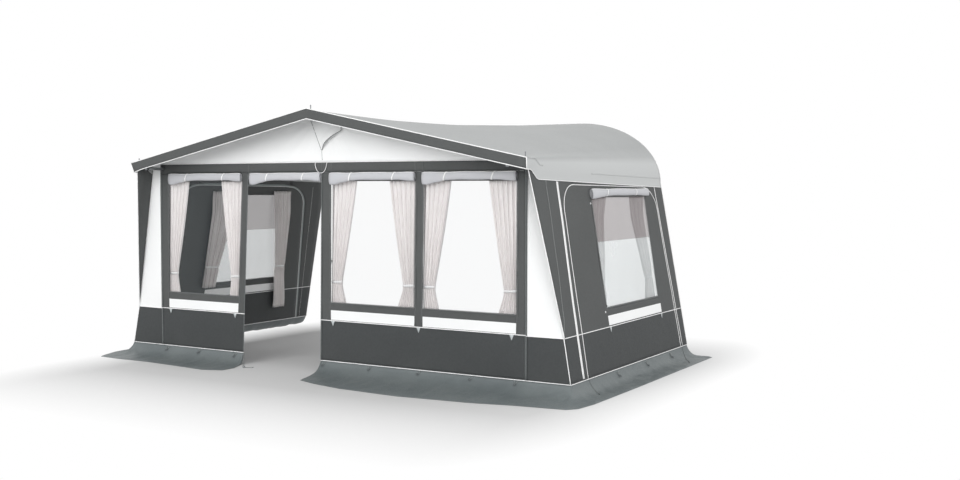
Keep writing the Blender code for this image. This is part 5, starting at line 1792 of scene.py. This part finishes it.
@dataclass
class Apron:
    """The apron from the door round the corner to the rear, lying out on the ground.

    Each row of shares says where it stands along the front and how far it lies sideways and out. Each
    row of the corner says the same from the corner on.
    """

    side: Side
    door_x: float
    shares: tuple[Triple, ...]
    corner: tuple[Triple, ...]
    rings: tuple[float, ...]
    side_rings: Triple = (1.862, 1.177, 0.531)
    reach: float = 0.65
    side_reach: float = 0.275
    end: float = 0.012
    wide: float = 0.60
    fall: float = 0.145
    down: float = 0.62
    ties: tuple[tuple[Triple, ...], ...] = (
        ((2.562, 2.451, 0.107), (2.600, 2.455, 0.08), (2.640, 2.470, 0.05), (2.690, 2.520, 0.03)),
        (
            (2.546, 0.162, 0.107), (2.575, 0.190, 0.07), (2.610, 0.260, 0.04), (2.700, 0.400, 0.02),
            (2.735, 0.475, 0.01),
        ),
    )

    def folds(self) -> list[Vector]:
        """Stations from the door to the rear: x and out at the wall's foot, then x and out on the ground."""
        corner_x = PLAN.side_x(PLAN.front, PLAN.foot)
        run = corner_x - self.door_x
        made = []
        for place, sideways, outward in self.shares:
            x = self.door_x + run * place
            made.append(Vector((x, PLAN.front, x + self.reach * sideways, PLAN.front + self.reach * outward)))
        for before, sideways, outward in self.corner:
            x, out = corner_x - run * max(before, 0.0), PLAN.front + run * min(before, 0.0)
            made.append(Vector((x, out, corner_x + self.side_reach * sideways, out + self.reach * outward)))
        last = made[-1].y
        for step in range(1, 5):
            out = mix(last, self.end, step / 4)
            x = PLAN.side_x(out, PLAN.foot)
            made.append(Vector((x, out, x + self.side_reach, out)))
        return made

    def rise(self, share: float) -> float:
        """The apron's height over the ground at a share of its reach, as a share of the wall's foot."""
        rest = math.exp(-self.down / self.fall)
        return max((math.exp(-share / self.fall) - rest) / (1 - rest), 0.0)

    def crease(self, u: float, v: float, sideways: float, ahead: float) -> float:
        """Height of the folds, which run out from the corner of the awning near it.

        Args:
            u: Place along the wall.
            v: Place out over the ground.
            sideways: Distance from the awning's corner along the front.
            ahead: Distance from it outwards.

        Returns:
            The height.
        """
        flow, fine, ridge = (
            noise.noise(Vector((u / size, v / long, self.side.value * seed)))
            for size, long, seed in ((0.13, 0.45, 3.0), (0.05, 0.22, 5.0), (0.21, 0.6, 8.0))
        )
        near = math.hypot(sideways, ahead)
        fan = smooth(near / 0.05) * math.exp(-near / 0.2) * math.sin(11 * math.atan2(ahead, sideways))
        return 0.010 * flow + 0.004 * fine + 0.012 * max(0.4 - 2 * abs(ridge), 0.0) + 0.007 * fan

    def build(self) -> None:
        """Builds the apron with its stakes' loops."""
        folds, corner_x, word = self.folds(), PLAN.side_x(PLAN.front, PLAN.foot), self.side.word
        marks = [0.0]
        for first, second in zip(folds, folds[1:]):
            step = second - first
            marks.append(marks[-1] + (math.hypot(step.x, step.y) + math.hypot(step.z, step.w)) / 2)

        def spot(u: float, v: float) -> Vector:
            """A spot of the apron: u along the wall, v out over the ground."""
            place, after = between(marks, u)
            near_x, near_out, far_x, far_out = folds[place].lerp(folds[place + 1], after)
            share = v / self.wide
            x, out = mix(near_x, far_x, share), mix(near_out, far_out, share)
            inner = smooth(share * 9) * smooth((1 - share) * 7) * (1 - self.rise(share) * 0.4)
            crease = max(self.crease(u, v, x - corner_x, out - PLAN.front), -0.003)
            z = 0.0025 + (PLAN.foot - 0.003) * self.rise(share) + inner * crease
            return PLAN.at(self.side.value * x, out, max(z, 0.002))

        us = stations(marks, 0.028)
        vs = [self.wide * (step / 26) ** 1.25 for step in range(27)]
        piece = sheet("apron_cloth_" + word, us, vs, spot, UP, "apron cloth", offset=-1.0)
        edge = [spot(u, self.wide) + UP * 0.0004 for u in us]
        trim = [tube("apron_hem_" + word, edge, 0.0018, "apron cloth")]
        declare(piece, Hold.LAID, "front_cloth_" + word, "apron_" + word, trim)
        self.build_rings(piece)
        self.build_ties(piece)

    def build_ties(self, cloth: Piece) -> None:
        """The two short cords that hang from the side's foot and lie on the apron's cloth."""
        for number, marks in enumerate(self.ties):
            line = []
            for point in curved([PLAN.at(self.side.value * x, out, z) for x, out, z in marks], 0.013):
                hit, under, _, _ = cloth.ray_cast(Vector((point.x, point.y, 1.0)), -UP)
                if hit:
                    point.z = max(under.z + 0.0022, 0.107 if not line else 0.0)
                line.append(point)
            free_cord(f"apron_tie_{number + 1}_{self.side.word}", line, 0.002, "dark cord")

    def build_rings(self, cloth: Piece) -> None:
        """Rubber rings that lie on the apron's cloth, each on a forked strap from the wall's foot."""
        feet = [(PLAN.at(self.side.value * x, PLAN.front, 0.0), AHEAD) for x in self.rings]
        sideways = Vector((self.side.value, 0, 0))
        feet += [(PLAN.on_wall(self.side, out, PLAN.foot), sideways) for out in self.side_rings]
        for number, (foot, away) in enumerate(feet):
            marks, slopes = [], []
            for reach, shift in ((0.008, -1), (0.030, 0), (0.008, 1)):
                above = foot + away * reach + away.cross(UP) * 0.016 * shift
                above.z = 1.0
                _, place, slope, _ = cloth.ray_cast(above, -UP)
                marks.append(place + slope * 0.003)
                slopes.append(slope)
            name = f"stake_ring_{self.side.word}_{number + 1}"
            centre = marks[1] + slopes[1] * 0.0015 + away * 0.010
            ring(name, centre, slopes[1], 0.0105, 0.0026, "rubber")
            tube(name + "_strap", marks, 0.0030, "rubber strap")


LEFT_APRON = Apron(
    Side.LEFT, 1.026,
    (
        (0.0, -0.03, 0.14), (0.004, -0.17, 0.38), (0.02, -0.20, 0.62), (0.08, -0.06, 0.74), (0.30, 0.0, 0.68),
        (0.60, 0.0, 0.62), (0.85, 0.0, 0.64),
    ),
    ((0.030, 0.17, 0.615), (0.0, 0.38, 0.446), (-0.030, 0.64, 0.23)),
    (1.12, 1.604, 2.049),
)
RIGHT_APRON = Apron(
    Side.RIGHT, -0.059,
    (
        (0.0, 0.20, 0.70), (0.10, 0.12, 0.82), (0.25, 0.04, 0.94), (0.50, 0.0, 1.0), (0.75, 0.0, 0.90),
        (0.90, 0.02, 0.76),
    ),
    ((0.030, 0.62, 0.675), (0.0, 0.86, 0.545), (-0.030, 0.97, 0.30)),
    (-0.010, 0.524, 1.063, 1.604, 2.049),
)


@dataclass
class Frame:
    """The telescopic frame: its solids stay, and get worn metal and plastic."""

    tubes: tuple[str, ...] = ("_outer", "_inner", "_upper", "_lower", "curtain_rail")

    def look(self, name: str) -> str:
        """The finish of a solid, or none for one that a piece of cloth stands for."""
        if name.endswith("_knob"):
            return "black plastic"
        if name.endswith(self.tubes):
            return "zinc tube"
        return "cast connector" if name.endswith("_connector") or name.startswith("corner_connector") else ""

    def build(self) -> None:
        """Dresses every tube, casting, rail and wing screw."""
        for name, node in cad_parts.items():
            if look := self.look(name):
                node.data.materials.clear()
                node.data.materials.append(SKINS[look])
                LOG.info("%s: %s", name, look)


@dataclass
class Studio:
    """The camera, the pale floor and the soft light."""

    lens: float = 41.89
    yaw: float = 0.5339
    pitch: float = -0.0464
    roll: float = 0.0011
    place: Triple = (6.567, -9.332, 1.737)
    # floor: the grey of the zone round the awning, which also shows the real cast shadow; kept and steeps: the size
    # and fade of that zone, a painted soft shadow
    floor: Triple = (0.55, 0.55, 0.55)
    kept: tuple[Pair, Pair] = ((0.3, 2.2), (-0.31, 1.41))
    steeps: Pair = (2.4, 1.0)
    lamps: tuple[tuple[str, Triple, float], ...] = (
        ("key", (-1.2, -12.0, 6.0), 680.0), ("fill", (10.0, -5.5, 5.0), 340.0),
    )
    sky_front: float = 0.78
    sky_rear: float = 1.2

    def build_camera(self) -> None:
        """The camera at the photograph's viewing angle."""
        camera = create("camera", bpy.ops.object.camera_add, location=self.place)
        camera.data.lens, camera.data.sensor_width, camera.data.clip_end = self.lens, 36.0, 200.0
        turns = ((self.yaw, "Z"), (math.pi / 2 + self.pitch, "X"), (self.roll, "Z"))
        spin, tilt, roll = (Matrix.Rotation(angle, 4, axis) for angle, axis in turns)
        camera.matrix_world = Matrix.Translation(self.place) @ spin @ tilt @ roll
        bpy.context.scene.camera = camera

    def build_floor(self) -> None:
        """A pale floor that shows white far away and keeps the shadow; the grey zone round the awning and its fade to
        white are a painted soft shadow.
        """
        floor = create("floor", bpy.ops.mesh.primitive_plane_add, size=80.0, location=(0.0, 0.0, -0.0005))
        material, graph, shader = blank("floor")
        rough = graph.bump(graph.noise(8.0), 0.05, 0.01)
        graph.feed(shader, {"Base Color": self.floor, "Roughness": 0.9, "Normal": rough})
        # painted shadow: near the awning the lit grey floor shows with its real cast shadow, and it fades to white
        # over a zone shaped as the awning's soft shadow
        squares = []
        for axis, (middle, half), steep in zip(graph.parts(graph.object), self.kept, self.steeps):
            off = graph.math("SUBTRACT", graph.off(axis, middle), half)
            past = graph.math("MULTIPLY", graph.math("MAXIMUM", off, 0.0), steep)
            squares.append(graph.math("POWER", past, 2.0))
        away = graph.span(graph.math("SQRT", graph.math("ADD", *squares)), 0.2, 2.0, 0.0, 1.0)
        white, plain = graph.add("Emission").outputs[0], shader.outputs[0]
        shown = graph.either(graph.math("MULTIPLY", away, graph.seen()), plain, white)
        graph.feed(graph.tree.nodes["Material Output"], {0: shown})
        floor.data.materials.append(material)

    def build_light(self) -> None:
        """A broad lamp over the front, a weaker one on the right, and an even sky."""
        for name, place, power in self.lamps:
            lamp = create(name, bpy.ops.object.light_add, type="AREA", location=place)
            lamp.data.size, lamp.data.energy = 8.0, power
            lamp.rotation_euler = (UP - Vector(place)).normalized().to_track_quat("-Z", "Y").to_euler()
        world = bpy.data.worlds.new("studio")
        world.use_nodes = True
        graph = Graph(world.node_tree)
        light, white = graph.tree.nodes["Background"], graph.add("Background", {"Color": (1.0, 1.0, 1.0)})
        aim = graph.parts(graph.add("TexCoord").outputs["Generated"])[1]
        strength = graph.span(aim, -0.5, 0.5, self.sky_front, self.sky_rear)
        graph.feed(light, {"Color": (1.0, 1.0, 1.0), "Strength": strength})
        shown = graph.either(graph.seen(), light.outputs[0], white.outputs[0])
        graph.feed(graph.tree.nodes["World Output"], {0: shown})
        bpy.context.scene.world = world
        bpy.context.scene.view_settings.view_transform = "Standard"


def main() -> None:
    """Builds the awning in order: camera, cloth from the top down, ground, frame and light."""
    logging.basicConfig(level=logging.INFO, format="%(name)s %(message)s")
    for look in LOOKS:
        look.make()
    studio = Studio()
    studio.build_camera()
    Canopy().build()
    Roof().build()
    FrontWall().build()
    SideWall(Side.LEFT, rear_foot=0.215, rear_shoulder=0.360, pane_rear=(0.610, 0.630)).build()
    SideWall(Side.RIGHT).build()
    for drape in DRAPES:
        drape.build()
    LEFT_APRON.build()
    RIGHT_APRON.build()
    Frame().build()
    studio.build_floor()
    studio.build_light()


if __name__ == "__main__":
    main()
